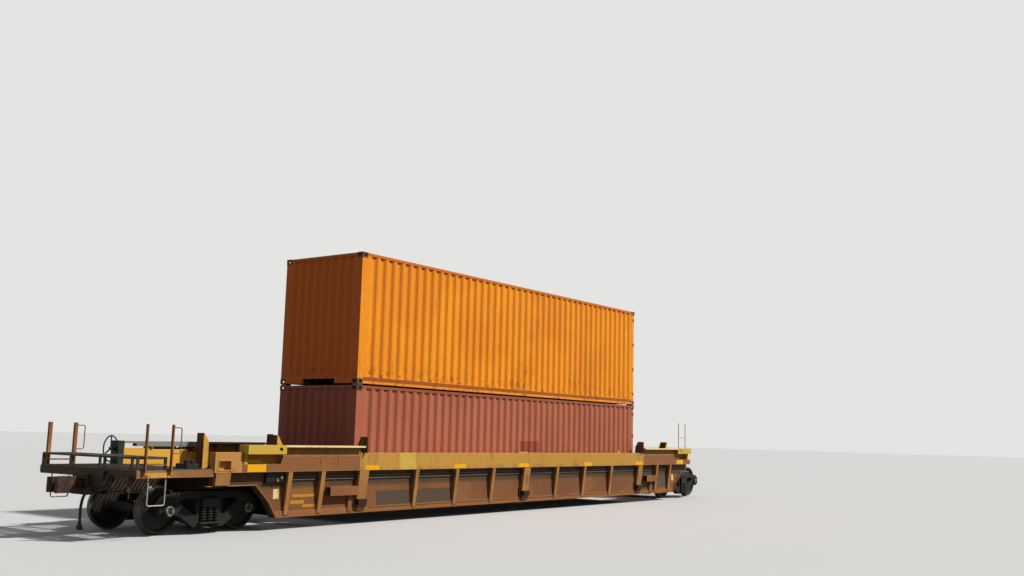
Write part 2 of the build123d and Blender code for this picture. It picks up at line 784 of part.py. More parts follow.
def walkway():
    """Near walkways: a tread with a lip, on a web along the chord, and the end plate with its round hole."""
    low = yellow_plate_bottom_z
    plate = walkway_plate
    under = walkway_top_z - plate
    on_chord = chord_end_top_z + seat
    along = (-walkway_far_end_x, -walkway_well_end_x)
    web_y = -chord_outer + walkway_web_inset
    run = block(*along, -walkway_outer_y, -walkway_inner_y, under, walkway_top_z)
    run += block(*along, -walkway_outer_y, -walkway_outer_y + plate, walkway_top_z - walkway_lip, walkway_top_z)
    run += block(along[0], -chord_high_half - seat, web_y, web_y + plate, on_chord, under + 1)
    end_x = -yellow_plate_end_x
    face = -walkway_outer_y + yellow_plate
    end = block(end_x, -walkway_far_end_x, -walkway_outer_y, -walkway_inner_y, low, walkway_top_z)
    end -= block(end_x - 1, -walkway_far_end_x + 1, face, -walkway_inner_y + 1, low - 1, under)
    run += end - rod_y(-walkway_outer_y - 1, face + 1, -yellow_plate_hole_x, (low + walkway_top_z) / 2,
                       yellow_plate_hole)
    for x in walkway_bracket_places:
        run += block(x - plate / 2, x + plate / 2, web_y + 1, -walkway_inner_y, on_chord, under + 1)
    run += block(-walkway_far_end_x - plate, -walkway_far_end_x, face - 1, web_y + plate, low, under + 1)
    run += block(end_x, end_x + plate, face, -walkway_inner_y, low, under)
    run += block(end_x, end_x + walkway_leg_x, -chord_outer + walkway_web_inset, -well_inner_half - 2 * notch_web,
                 notch_top_z + seat, under)
    inner = (-walkway_inner_y - plank_edge, -walkway_inner_y)
    run += block(end_x, -walkway_well_end_x, *inner, walkway_top_z - plank_shallow, under + 1)
    run += block(end_x, -plank_deep_x[0], *inner, walkway_top_z - plank_depth, under + 1)
    return [run, other_end(run)]


def brake_plank():
    """Plank that carries the far walkway on to the hand brake, on two feet on the end box."""
    start = -yellow_plate_end_x - seat
    inner, outer = walkway_inner_y, walkway_inner_y + plank_width
    top = walkway_top_z
    plank = block(-plank_end_x, start, inner, outer, top - walkway_plate, top)
    for y in (inner, outer - plank_edge):
        plank += block(-plank_end_x, start, y, y + plank_edge, top - plank_shallow, top)
        plank += block(-plank_deep_x[1], start, y, y + plank_edge, top - plank_depth, top)
    foot_y = inner + (plank_width - plank_foot_thickness) / 2
    for x in plank_feet:
        plank += block(x - plank_foot / 2, x + plank_foot / 2, foot_y, foot_y + plank_foot_thickness,
                       end_box_top_z + seat, top - 1)
    return plank


def container_guides():
    """Near guides: a plate with a rib at each 40-foot corner, a pair of gussets at each well end, and a lug."""
    on_chord = chord_top_z + seat
    inner, outer = corner_guide_inner, corner_guide_outer
    top = corner_guide_top_z
    throat_y, throat_drop = corner_guide_throat
    outline = [(-inner, on_chord), (-outer, on_chord), (-outer + 10, top), (-corner_guide_top_inner, top),
               (-throat_y, top - throat_drop)]
    x = -corner_guide_x
    corner = end_slab(outline, x, x + guide_plate)
    foot, head, drop = corner_guide_rib
    rib = [(x + 1, on_chord), (x - foot, on_chord), (x - head, top - drop), (x + 1, top - drop)]
    corner += side_slab(rib, -chord_outer + 5, -chord_outer + 5 + guide_plate)
    on_plate = shear_plate_z + shear_plate + seat
    over_bulkhead = chord_bottom_z - bulkhead_top_gap + seat
    back, front, top = -end_guide_back_x, -end_guide_front_x, end_guide_top_z
    step_x = -half_well - bulkhead_depth - seat
    nose, nose_drop = end_guide_nose
    gusset = [(back, on_plate), (back, top), (back + nose, top), (front, top - nose_drop), (front, over_bulkhead),
              (step_x, over_bulkhead), (step_x, on_plate)]
    narrow, wide = end_guide_span
    end = block(back, back + guide_plate, -wide, -narrow, on_plate, top)
    for y in (-wide, -narrow - guide_plate):
        end += side_slab(gusset, y, y + guide_plate)
    half, height, thick = lug_size
    lug = [(lug_place - half, on_chord), (lug_place + half, on_chord), (lug_place, on_chord + height)]
    middle = (chord_outer + well_inner_half) / 2
    lug = side_slab(lug, -middle - thick / 2, -middle + thick / 2)
    return [corner, other_end(corner), end, other_end(end), lug]


def well_floor():
    """Cross bearers between the bottom angles, diagonal braces and the pads under the castings."""
    top = lower_stand_z - pad_thickness
    low = side_bottom_z + sill_thickness + seat
    reach = well_inner_half - seat
    pieces = []
    for x in bearer_places:
        pieces.append(block(x - bearer_width / 2, x + bearer_width / 2, -reach, reach, top - 10, top))
        for edge in (-1, 1):
            web_x = x + edge * (bearer_width / 2 - 10)
            web = (web_x - bearer_plate / 2, web_x + bearer_plate / 2)
            short = reach - sill_leg - 2
            pieces.append(block(*web, -short, short, side_bottom_z, top - 5))
            pieces.append(block(*web, -reach, reach, low, top - 5))
    for y in brace_places:
        pieces.append(block(bearer_places[0], bearer_places[-1], y - brace_width / 2, y + brace_width / 2,
                            top - 2 * brace_height, top - brace_height))
    for x_side in (-1, 1):
        for y_side in (-1, 1):
            x = x_side * casting_spacing_x / 2
            y = y_side * casting_spacing_y / 2
            pieces.append(Pos(x, y, top + (pad_thickness - seat) / 2) * Box(*floor_pad, pad_thickness - seat))
            pieces.append(extrude(Pos(x, y, top) * SlotOverall(*cone_base), pad_thickness + cone_height))
    return pieces[0] + pieces[1:]


def end_frame(truck_x, nose_x, pin_radius):
    """Drawn for end A: bulkhead, shear plate, centre sill in two lengths, and the body bolster between them.

    With a pin radius it is the articulated end, which narrows to the pin beyond the sides.
    """
    reach = well_inner_half - seat
    inner = -half_well
    outer = inner - bulkhead_depth
    low = side_bottom_z + sill_thickness + seat
    under_plate = shear_plate_z - seat
    bulkhead = block(inner - bulkhead_plate, inner, -reach, reach, low, chord_bottom_z - bulkhead_top_gap)
    for rib_z in bulkhead_ribs:
        bulkhead += block(outer, inner, -reach, reach, low + rib_z, low + rib_z + rib_plate)
    for y in bulkhead_stiffeners:
        for y_side in (-1, 1):
            middle = y_side * y
            bulkhead += block(outer, inner, middle - rib_plate / 2, middle + rib_plate / 2, low, under_plate)
    half = centre_sill_half
    plate_end = outer - seat
    plate_z = (shear_plate_z, shear_plate_z + shear_plate)
    across = body_bolster_length / 2
    if pin_radius:
        # Open over the pin: a tapered plate at each side, and a strip from the pin to the bulkhead
        strip_y = (-pin_slot_half + seat, pin_slot_half - seat)
        plates = [block(truck_x + pin_slot_half, plate_end, *strip_y, *plate_z)]
        taper = [(plate_end, pin_slot_half), (plate_end, reach), (-chord_end_b_x, reach),
                 (truck_x + across, end_b_half), (truck_x - across, end_b_half), (truck_x - across, pin_slot_half)]
        plate = plan_slab(taper, *plate_z)
        plates += [plate, other_side(plate)]
    else:
        plate = block(-chord_end_x + seat, plate_end, -reach, reach, *plate_z)
        plates = [plate + block(nose_x, plate_end, -half, half, *plate_z)]
    sill = []
    for x0, x1 in ((nose_x, truck_x - across - seat), (truck_x + across + seat, outer - seat)):
        if x1 > x0:
            web = block(x0, x1, half - centre_sill_web, half, centre_sill_bottom_z, under_plate)
            web += block(x0, x1, half, half + sill_flange,
                         centre_sill_bottom_z, centre_sill_bottom_z + sill_plate)
            top = block(x0, x1, -half, half, under_plate - sill_plate, under_plate)
            sill.append(web + other_side(web) + top)
    arm_y = end_b_half if pin_radius else arch_flange_inner - bolster_side_gap
    outline = [(bolster_root_y, centre_sill_bottom_z + sill_bolster_step), (arm_y, body_bolster_bottom_z)]
    if pin_radius:
        outline += [(arm_y, under_plate)]
    else:
        outline += [(arm_y, arch_lip_z + seat), (reach, arch_lip_z + seat), (reach, under_plate)]
    outline += [(-y, z) for y, z in reversed(outline)]
    bolster = end_slab(outline, truck_x - across, truck_x + across)
    web_x = across - bolster_web
    for y_side in (-1, 1):
        pocket = sorted((y_side * bolster_root_y, y_side * (arm_y - bolster_web)))
        bolster -= block(truck_x - web_x, truck_x + web_x, *pocket,
                         centre_sill_bottom_z, under_plate - bolster_web)
        y = y_side * side_bearing_y
        bolster += block(truck_x - web_x, truck_x + web_x, y - side_bearing_half, y + side_bearing_half,
                         centre_sill_bottom_z + side_bearing_lift, under_plate)
    bolster += rod_z(centre_plate_z + seat, under_plate, truck_x, 0, centre_plate_radius)
    if pin_radius:
        bolster -= rod_z(centre_plate_z - 1, shear_plate_z, truck_x, 0, pin_radius)
    return [bulkhead, bolster, *plates, *sill]


def draft_end():
    """Striker round the coupler shank, in front of the centre sill."""
    half = centre_sill_half
    front = -striker_x - striker_thickness / 2
    back = front + striker_thickness
    striker = block(front, back, -half - 60, half + 60, coupler_z - 180, shear_plate_z + shear_plate)
    return striker - block(front - 1, back + 1, -half + 20, half - 20,
                           coupler_z - shank_half_height - seat, coupler_z + shank_half_height + 24)


def platform():
    """Crossover platform at end A: end sill, side sills and cross members."""
    front = -platform_front_x
    back = -chord_end_x - seat
    low, high = platform_low_z, platform_high_z
    edge = platform_edge
    plate = platform_plate
    frame = block(front - 10, front, -edge + 20, edge - 20, low - 20, high + 20)
    for y_side in (-1, 1):
        frame += block(front - 10, back, *sorted((y_side * edge, y_side * (edge - plate))), low, high)
        flange = sorted((y_side * edge, y_side * (edge - platform_flange)))
        frame += block(front - 10, back, *flange, low, low + plate)
    for x in platform_cross_places:
        frame += block(x, x + platform_cross_width, -edge + 5, edge - 5,
                       shear_plate_z + shear_plate + seat, high - 20)
    over_sill = centre_sill_half + seat
    return frame - block(front - 11, front + 1, -over_sill, over_sill,
                         low - 21, shear_plate_z + shear_plate + seat)


def grating(front, back, edge, top, count):
    """Open deck grating: a border, bearing bars across and thin cross rods along."""
    low = top - deck_depth + seat
    deck = block(front, back, -edge, edge, low, top)
    border = deck_border
    half = deck_bar / 2
    deck -= block(front + border, back - border, -edge + border, edge - border, low - 1, top + 1)
    bars = []
    for n in range(count):
        x = front + border + (back - front - 2 * border) * (n + 0.5) / count
        bars.append(block(x - half, x + half, -edge, edge, low, top))
    for y in deck_cross_rods:
        bars.append(block(front, back, y - half, y + half, low + deck_bar, top))
    return deck + bars


def raised_step():
    """Raised crossover step on the deck: a grating on legs."""
    front = -platform_front_x + seat
    step = grating(front, -step_back_x, step_edge, step_top_z, step_bars)
    half = step_leg / 2
    low = step_top_z - deck_depth
    for y in step_leg_places:
        for x in (front + half, -step_back_x - half):
            step += block(x - half, x + half, y - half, y + half, deck_top_z + seat, low + 1)
    return step


def stanchions():
    """Near side of the platform: two angle stanchions, a tread, a grab loop, a grab iron and a stirrup step."""
    sill = -platform_edge - seat
    plate = stanchion_plate
    half = stanchion_leg / 2
    posts = []
    for x in stanchion_places:
        post = block(x - half, x + half, sill - plate, sill, stanchion_low_z, stanchion_top_z)
        post += block(x - half, x - half + plate, sill - stanchion_leg, sill, stanchion_low_z, stanchion_top_z)
        posts.append(post)
    leg_x = -step_back_x - step_leg - seat
    posts[0] += block(stanchion_places[0] - half, leg_x, sill - 1, -tread_inner, *tread_z)
    y = sill - plate / 2
    x = stanchion_places[1] + half - 1
    low, high = grab_loop_z
    out = x + grab_loop_reach
    posts[1] += pipe([(x, y, high), (out, y, high), (out, y, low), (x, y, low)], grab_radius, grab_loop_bend)
    x0, x1 = grab_iron_x
    y = sill - grab_iron_stand
    low, high = grab_iron_z
    iron = pipe([(x0, sill, high), (x0, y, low), (x1, y, low), (x1, sill, high)], grab_radius, 25)
    iron += block(x0 - 10, x1 + 10, sill - plate, sill, *grip_plate_z)
    iron -= block(x0 - 50, x1 + 50, sill, sill + 50, low - 50, high + 50)
    x0, x1 = stirrup_x
    y = -platform_edge + platform_plate
    top = platform_low_z - seat
    stirrup = pipe([(x0, y, top), (x0, y, stirrup_low_z), (x1, y, stirrup_low_z), (x1, y, top)],
                   stirrup_radius, grab_loop_bend)
    return posts + [iron, stirrup]


def uncoupling_lever():
    """Rod in two brackets on the end sill, with the handle at the near side."""
    sill = -platform_front_x - 10 - seat
    rod = pipe([(lever_x, y, z) for y, z in lever_points], lever_radius, lever_bend)
    half = lever_bracket_plate / 2
    for y in lever_brackets:
        rod += block(lever_x - lever_radius - 5, sill, y - half, y + half, *lever_bracket_z)
    return rod


def end_bracket():
    """Bracket box beside the striker, with the air pipe's end cock on a plate below it."""
    sill = -platform_front_x - 10 - seat
    y0, y1 = end_bracket_y
    low, high = end_bracket_z
    box = block(sill - end_bracket_depth, sill, y0, y1, low, high)
    wall = end_bracket_wall
    box -= block(sill - end_bracket_depth + wall, sill - wall, y0 + wall, y1 - wall, low - 1, high - wall)
    (x, z), (next_x, next_z) = hose_route[:2]
    run = math.hypot(next_x - x, next_z - z)
    along_x, along_z = (next_x - x) / run, (next_z - z) / run
    corner = (x - along_x * cock_length, hose_y, z - along_z * cock_length)
    box += pipe([(cock_start_x, hose_y, corner[2]), corner, (x - along_x * seat, hose_y, z - along_z * seat)],
                cock_radius, cock_radius + 7)
    front = sill - end_bracket_depth
    width, lap = cock_plate
    plate_z = (corner[2] - lap, low + lap)
    return box + block(front - 2, front + wall, hose_y - width / 2, hose_y + width / 2, *plate_z)


def air_hose():
    """Air hose that hangs from the end cock, and the coupling head on its end."""
    hose = pipe([(x, hose_y, z) for x, z in hose_route], hose_radius, hose_bend)
    x, z = hose_route[-1]
    ferrule_z = z - 2 - hose_ferrule_length
    half = hose_head_width / 2
    head = rod_z(ferrule_z, z - 2, x, hose_y, hose_radius + hose_ferrule_wall)
    head += rod_y(hose_y - half, hose_y + half, x, ferrule_z - hose_head_radius + 15, hose_head_radius)
    head += block(x - 14, x + 60, hose_y - 24, hose_y + 8, ferrule_z - 80, ferrule_z - 50)
    return hose, head


def brake_valves():
    """Brake valve on the deck: a cast body with two round caps and a side chamber."""
    x0, x1 = brake_valve_x
    y0, y1 = brake_valve_y
    z = deck_top_z + seat
    top = z + brake_valve_height
    body = block(x0, x1, y0, y1, z, top)
    middle = (y0 + y1) / 2
    for x in (x0 + brake_valve_cap_inset, x1 - brake_valve_cap_inset):
        body += rod_z(top - 1, top + brake_valve_cap_height, x, middle - 60, brake_valve_cap_radius)
    radius, reach = brake_valve_chamber
    return body + rod_y(middle, y1 + reach, (x0 + x1) / 2, z + radius + 4, radius)


def marker_rods():
    """Near tall rods on the end plate at end B, with a rung between."""
    y = -walkway_outer_y + 20
    low, high = marker_rod_places
    base = walkway_top_z + seat
    rods = rod_x(low, high, y, marker_rung_z, marker_rod_radius - 2)
    for x in marker_rod_places:
        rods += rod_z(base, marker_rod_top_z, x, y, marker_rod_radius)
    return rods


def wheel(radius):
    """One wheel, turned about its axle; local Z is outward from the car's centre, 0 at the wheel's back."""
    tread = radius
    rim_inner = radius - rim_thickness
    flange = radius + flange_depth
    bore = wheel_seat_radius + seat
    middle = wheel_width / 2
    web = plate_thickness / 2
    hub_back = -12
    hub_front = hub_width - 12
    points = [(bore, hub_back), (hub_radius - 15, hub_back), (hub_radius, middle - web - 22),
              (rim_inner - 20, middle - web), (rim_inner, 12), (rim_inner + 12, 0), (flange - 10, 0),
              (flange, 10), (flange - 2, 20), (tread + 4, flange_width), (tread, flange_width + 12),
              (tread - 4, wheel_width - 8), (tread - 12, wheel_width), (rim_inner + 10, wheel_width),
              (rim_inner, wheel_width - 12), (rim_inner - 20, middle + web), (hub_radius, middle + web + 8),
              (hub_radius - 15, hub_front), (bore, hub_front)]
    section = Plane.XZ * make_face(Polyline(*points, close=True))
    return revolve(section, Axis.Z)


def wheelset(x, radius):
    """Two wheels, and the axle with its journals and bearing end caps."""
    back = wheel_back_spacing / 2
    wheels = [Pos(x, side * back, radius) * Rot(-90 * side, 0, 0) * wheel(radius) for side in (-1, 1)]
    journal = journal_spacing / 2
    cap_start = journal + bearing_width / 2
    cap_end = cap_start + end_cap_length
    shoulder = journal - bearing_width / 2 - 10
    axle = [(0, 0), (axle_radius, 0), (axle_radius, back - 90), (wheel_seat_radius, back - 20),
            (wheel_seat_radius, back + hub_width), (journal_radius + 12, shoulder - 20),
            (journal_radius, shoulder), (journal_radius, cap_start + 4), (end_cap_radius, cap_start + 4),
            (end_cap_radius, cap_end - 8), (end_cap_radius - 12, cap_end), (0, cap_end)]
    section = Plane.XZ * make_face(Polyline(*axle, close=True))
    half = revolve(section, Axis.Z)
    bar = Pos(x, 0, radius) * Rot(-90, 0, 0) * (half + mirror(half, about=Plane.XY))
    for side in (-1, 1):
        for turn in (90, 210, 330):
            bolt = rod_y(*sorted((side * (cap_end - 2), side * (cap_end + 12))), 0, 0, 14)
            bolt = Pos(58 * math.cos(math.radians(turn)), 0, 58 * math.sin(math.radians(turn))) * bolt
            bar += Pos(x, 0, radius) * bolt
    return wheels, bar


def side_frame(x, wheelbase, radius):
    """Cast near side frame: arched outline, bolster window, two lightening holes, jaws over the bearings."""
    axle = wheelbase / 2
    y = -journal_spacing / 2
    jaw = bearing_radius + 10
    crown = radius + bearing_radius + 14
    outer = [(0, side_frame_bottom_z), (330, side_frame_bottom_z), (axle - jaw - 110, radius - 95),
             (axle - jaw, radius - 60), (axle - jaw, crown), (axle + jaw, crown),
             (axle + jaw, radius - 40), (axle + jaw + 55, radius - 40), (axle + jaw + 55, radius + 130),
             (axle + 60, max(side_frame_top_z - 70, crown + 75)), (axle - 230, max(side_frame_top_z, crown + 95)),
             (0, max(side_frame_top_z, crown + 95))]
    outline = outer + [(-px, pz) for px, pz in reversed(outer[1:-1])]
    half = side_frame_width / 2
    frame = side_slab(outline, y - half, y + half)
    frame -= block(-window_half, window_half, y - half - 1, y + half + 1, window_bottom_z, window_top_z)
    hole = [(window_half + 62, window_top_z - 20), (axle - jaw - 115, window_top_z - 20),
            (axle - jaw - 95, window_top_z - 90), (window_half + 110, window_bottom_z + 130),
            (window_half + 62, window_bottom_z + 140)]
    for side in (-1, 1):
        frame -= side_slab([(side * px, pz) for px, pz in hole], y - half - 1, y + half + 1)
    frame += block(-window_half - 20, window_half + 20, y - 165, y + 165, window_bottom_z - 25, window_bottom_z)
    for side in (-1, 1):
        place = side * axle
        cup = rod_y(y - bearing_width / 2, y + bearing_width / 2, place, radius, bearing_radius)
        cup += block(place - 95, place + 95, y - 80, y + 80, radius + 60, crown + 2)
        cup -= rod_y(y - bearing_width, y + bearing_width, place, radius, journal_radius + bearing_clearance)
        frame += cup
        beam_x = side * (axle - radius - brake_shoe_gap - 81)
        beam_z = radius - brake_beam_drop
        frame += block(beam_x - 50, beam_x + 50, y + half, y + half + brake_guide,
                       side_frame_bottom_z + 130, beam_z + 60)
    return Pos(x, 0, 0) * frame


def truck_bolster(x):
    """Bolster through both side frames, with the centre bowl and side bearings on top."""
    half = window_half - bolster_clearance
    end = journal_spacing / 2 + side_frame_width / 2 + 55
    low = bolster_end_top_z - bolster_end_height
    outline = [(-end, low), (-end, bolster_end_top_z), (-side_bearing_y - 120, bolster_end_top_z),
               (-320, centre_plate_z - 30), (320, centre_plate_z - 30), (side_bearing_y + 120, bolster_end_top_z),
               (end, bolster_end_top_z), (end, low), (780, low), (400, low - 75), (-400, low - 75), (-780, low)]
    beam = end_slab(outline, -half + 25, half - 25)
    beam += rod_z(centre_plate_z - 35, centre_plate_z + 22, 0, 0, centre_plate_radius + 26)
    beam -= rod_z(centre_plate_z, centre_plate_z + 30, 0, 0, centre_plate_radius + 4)
    for y in (-side_bearing_y, side_bearing_y):
        beam += block(-100, 100, y - 50, y + 50, low + 10,
                      centre_sill_bottom_z + side_bearing_lift - side_bearing_gap)
    return Pos(x, 0, 0) * beam


def springs(x):
    """Coil spring nests on the side frames' seats, drawn as stacked turns."""
    low = window_bottom_z + seat
    high = bolster_end_top_z - bolster_end_height - seat
    turn = (high - low) / spring_coils
    points = [(0, low)]
    for n in range(spring_coils):
        base = low + n * turn
        points += [(spring_radius - spring_groove, base), (spring_radius, base + turn / 2)]
    points += [(spring_radius - spring_groove, high), (0, high)]
    section = Plane.XZ * make_face(Polyline(*points, close=True))
    coil = revolve(section, Axis.Z)
    pieces = []
    for y_side in (-1, 1):
        for column in spring_columns:
            for row in spring_rows:
                pieces.append(Pos(x + column, y_side * journal_spacing / 2 + row, 0) * coil)
    return pieces


def brake_beams(x, wheelbase, radius):
    """A brake beam inside each axle: bar between the side frames, strut and two shoes on the treads' line."""
    pieces = []
    reach = journal_spacing / 2 - side_frame_width / 2 - brake_guide - seat
    shoe_y = wheel_back_spacing / 2 + wheel_width / 2 + 12
    for side in (-1, 1):
        axle = side * wheelbase / 2
        shoe = axle - side * (radius + brake_shoe_gap)
        height = radius - brake_beam_drop
        back = shoe - side * 95
        beam = block(*sorted((back, back + side * 28)), -reach, reach, height - 30, height + 30)
        for y in (-shoe_y, shoe_y):
            pad = block(*sorted((back, shoe + side * 40)), y - 42, y + 42, height - 150, height + 150)
            pad -= rod_y(y - 50, y + 50, axle, radius, radius + brake_shoe_gap)
            beam += pad
        pieces.append(Pos(x, 0, 0) * beam)
    return pieces


def coupler():
    """Head and shank: the plan outline, with the jaw open for the knuckle."""
    u = -pulling_face_x
    head = [(640, -65), (350, -65), (300, -140), (150, -190), (-50, -170), (-80, -150), (-78, -122), (30, -95),
            (62, -40), (62, 55), (95, 98), (260, 98), (330, 65), (640, 65)]
    body = plan_slab([(u + a, b) for a, b in head], coupler_z - head_half_height, coupler_z + head_half_height)
    keep = block(u + 300, u + 700, -70, 70, coupler_z - 150, coupler_z + 150)
    shank = block(u + 300, u + 640, -shank_half_width, shank_half_width, coupler_z - shank_half_height,
                  coupler_z + shank_half_height)
    return body - keep + shank


def knuckle():
    u = -pulling_face_x
    back = 98 + seat
    hook = [(225, back), (94, back), (48, 92), (10, 65), (0, 30), (-12, 2), (-55, 0), (-80, 30),
            (-knuckle_reach, 80), (-75, 135), (-20, 178), (90, 188), (225, 165)]
    return plan_slab([(u + a, b) for a, b in hook], coupler_z - 130, coupler_z + 130)


def hand_brake():
    """Hand brake housing on the far side of the platform, and its wheel."""
    x, y, z = hand_brake_place
    face = x - brake_housing_depth / 2
    hub_end = face - brake_hub_length
    housing = block(face, -face + 2 * x, y - 130, y + 130, deck_top_z + seat, z + 160)
    housing += rod_x(hub_end, face + 1, y, z, 40)
    rim_x = hub_end - 50
    ring = [(brake_wheel_radius - 12, -10), (brake_wheel_radius, -14), (brake_wheel_radius + 14, 0),
            (brake_wheel_radius, 14), (brake_wheel_radius - 12, 10)]
    rim = revolve(Plane.XZ * make_face(Polyline(*ring, close=True)), Axis.Z)
    wheel_part = Pos(rim_x, y, z) * Rot(0, 90, 0) * rim + rod_x(rim_x - 25, hub_end - seat, y, z, 34)
    for turn in (90, 210, 330):
        spoke = Pos(0, brake_wheel_radius / 2, 0) * Box(12, brake_wheel_radius, 28)
        wheel_part += Pos(rim_x, y, z) * Rot(turn, 0, 0) * spoke
    return housing, wheel_part


os.makedirs("parts", exist_ok=True)

near_side = side_wall()
save("side_near", *near_side)
save("side_far", *[other_side(piece) for piece in near_side])
near_chord = top_chord()
save("top_chord_near", near_chord)
save("top_chord_far", other_side(near_chord))
near_walkway = walkway()
save("walkway_near", *near_walkway)
save("walkway_far", *[other_side(piece) for piece in near_walkway], brake_plank())
near_guides = container_guides()
save("container_guides", *near_guides, *[other_side(piece) for piece in near_guides])
side_pipes, valve_box, near_brackets = side_fittings()
save("side_pipes", *side_pipes, *[other_side(piece) for piece in side_pipes])
save("valve_box", valve_box)
save("side_brackets", *near_brackets, *[other_side(piece) for piece in near_brackets])
save("well_floor", well_floor())
save("end_frame_a", *end_frame(truck_a_x, -striker_x + striker_thickness / 2 + seat, 0), draft_end())
end_b_pieces = end_frame(-truck_b_x, -truck_b_x - body_bolster_length / 2, centre_pin_radius)
save("end_frame_b", *[other_end(piece) for piece in end_b_pieces])
save("platform", platform())
deck_edge = platform_edge - platform_plate - seat
save("deck_grating", grating(-platform_front_x + seat, -chord_end_x - seat, deck_edge, deck_top_z, deck_bars))
save("raised_step", raised_step())
near_stanchions = stanchions()
save("stanchions", *near_stanchions, *[other_side(piece) for piece in near_stanchions])
save("uncoupling_lever", uncoupling_lever())
save("end_bracket", end_bracket())
hose, hose_head = air_hose()
save("air_hose", hose)
save("hose_head", hose_head)
save("brake_valves", brake_valves())
near_rods = marker_rods()
save("marker_rods", near_rods, other_side(near_rods))
save("coupler", coupler())
save("knuckle", knuckle())
brake_housing, brake_wheel = hand_brake()
save("hand_brake_housing", brake_housing)
save("hand_brake_wheel", brake_wheel)

for name, stand_z, height in (("lower", lower_stand_z, lower_height), ("upper", upper_stand_z, upper_height)):
    save(f"{name}_frame", *container_frame(stand_z, height, name == "upper"))
    save(f"{name}_walls", *container_walls(stand_z, height))
    save(f"{name}_roof", container_roof(stand_z, height))
    save(f"{name}_floor", container_floor(stand_z))
    save(f"{name}_door_near", container_door(stand_z, height, -1))
    save(f"{name}_door_far", container_door(stand_z, height, 1))
save("corner_castings_top", *top_castings(upper_stand_z, upper_height))
save("corner_locks", *[corner_lock(a, b) for a in (-1, 1) for b in (-1, 1)])

for letter, centre, radius, wheelbase in (("a", truck_a_x, truck_a_wheel_radius, truck_a_wheelbase),
                                          ("b", truck_b_x, truck_b_wheel_radius, truck_b_wheelbase)):
    near_frame = side_frame(centre, wheelbase, radius)
    save(f"side_frames_{letter}", near_frame, other_side(near_frame))
    save(f"bolster_{letter}", truck_bolster(centre))
    save(f"springs_{letter}", *springs(centre))
    save(f"brake_beams_{letter}", *brake_beams(centre, wheelbase, radius))
    for number, side in ((1, -1), (2, 1)):
        wheels, axle = wheelset(centre + side * wheelbase / 2, radius)
        save(f"wheels_{letter}{number}", *wheels)
        save(f"axle_{letter}{number}", axle)
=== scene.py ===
"""Looks of the end unit of a double-stack well wagon with two 40-foot containers.

Metres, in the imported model's frame: X along the wagon from the coupler end to the articulated end,
Y to the far side, Z up from the lowest point of the wheel flanges.
"""

import math

import bmesh
import bpy
from mathutils import Matrix, Vector


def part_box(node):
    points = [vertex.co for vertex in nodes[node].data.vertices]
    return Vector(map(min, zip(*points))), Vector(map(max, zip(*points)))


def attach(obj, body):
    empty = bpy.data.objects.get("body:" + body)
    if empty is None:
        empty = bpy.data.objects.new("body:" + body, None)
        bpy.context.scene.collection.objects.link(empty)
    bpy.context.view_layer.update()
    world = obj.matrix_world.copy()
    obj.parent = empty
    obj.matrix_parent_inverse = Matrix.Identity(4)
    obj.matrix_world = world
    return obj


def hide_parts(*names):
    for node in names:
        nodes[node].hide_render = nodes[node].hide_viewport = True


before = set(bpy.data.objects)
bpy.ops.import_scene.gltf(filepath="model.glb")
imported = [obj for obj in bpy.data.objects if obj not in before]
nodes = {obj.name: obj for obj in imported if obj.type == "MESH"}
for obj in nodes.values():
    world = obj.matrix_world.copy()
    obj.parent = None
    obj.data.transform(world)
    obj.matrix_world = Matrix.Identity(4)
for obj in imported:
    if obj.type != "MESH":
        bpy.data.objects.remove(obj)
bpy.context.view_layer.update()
scene = bpy.context.scene

# Truck side frames: rough steel castings, one each side of a truck, that hang on the axle bearings and
# carry the springs in their middle windows. Bare but for years of brake dust, grease and grit.


def srgb(red, green, blue):
    """A colour in the 0 to 255 numbers of a picture, as the shader's linear colour."""
    parts = [number / 255 for number in (red, green, blue)]
    return tuple(c / 12.92 if c <= 0.04045 else ((c + 0.055) / 1.055) ** 2.4 for c in parts) + (1,)


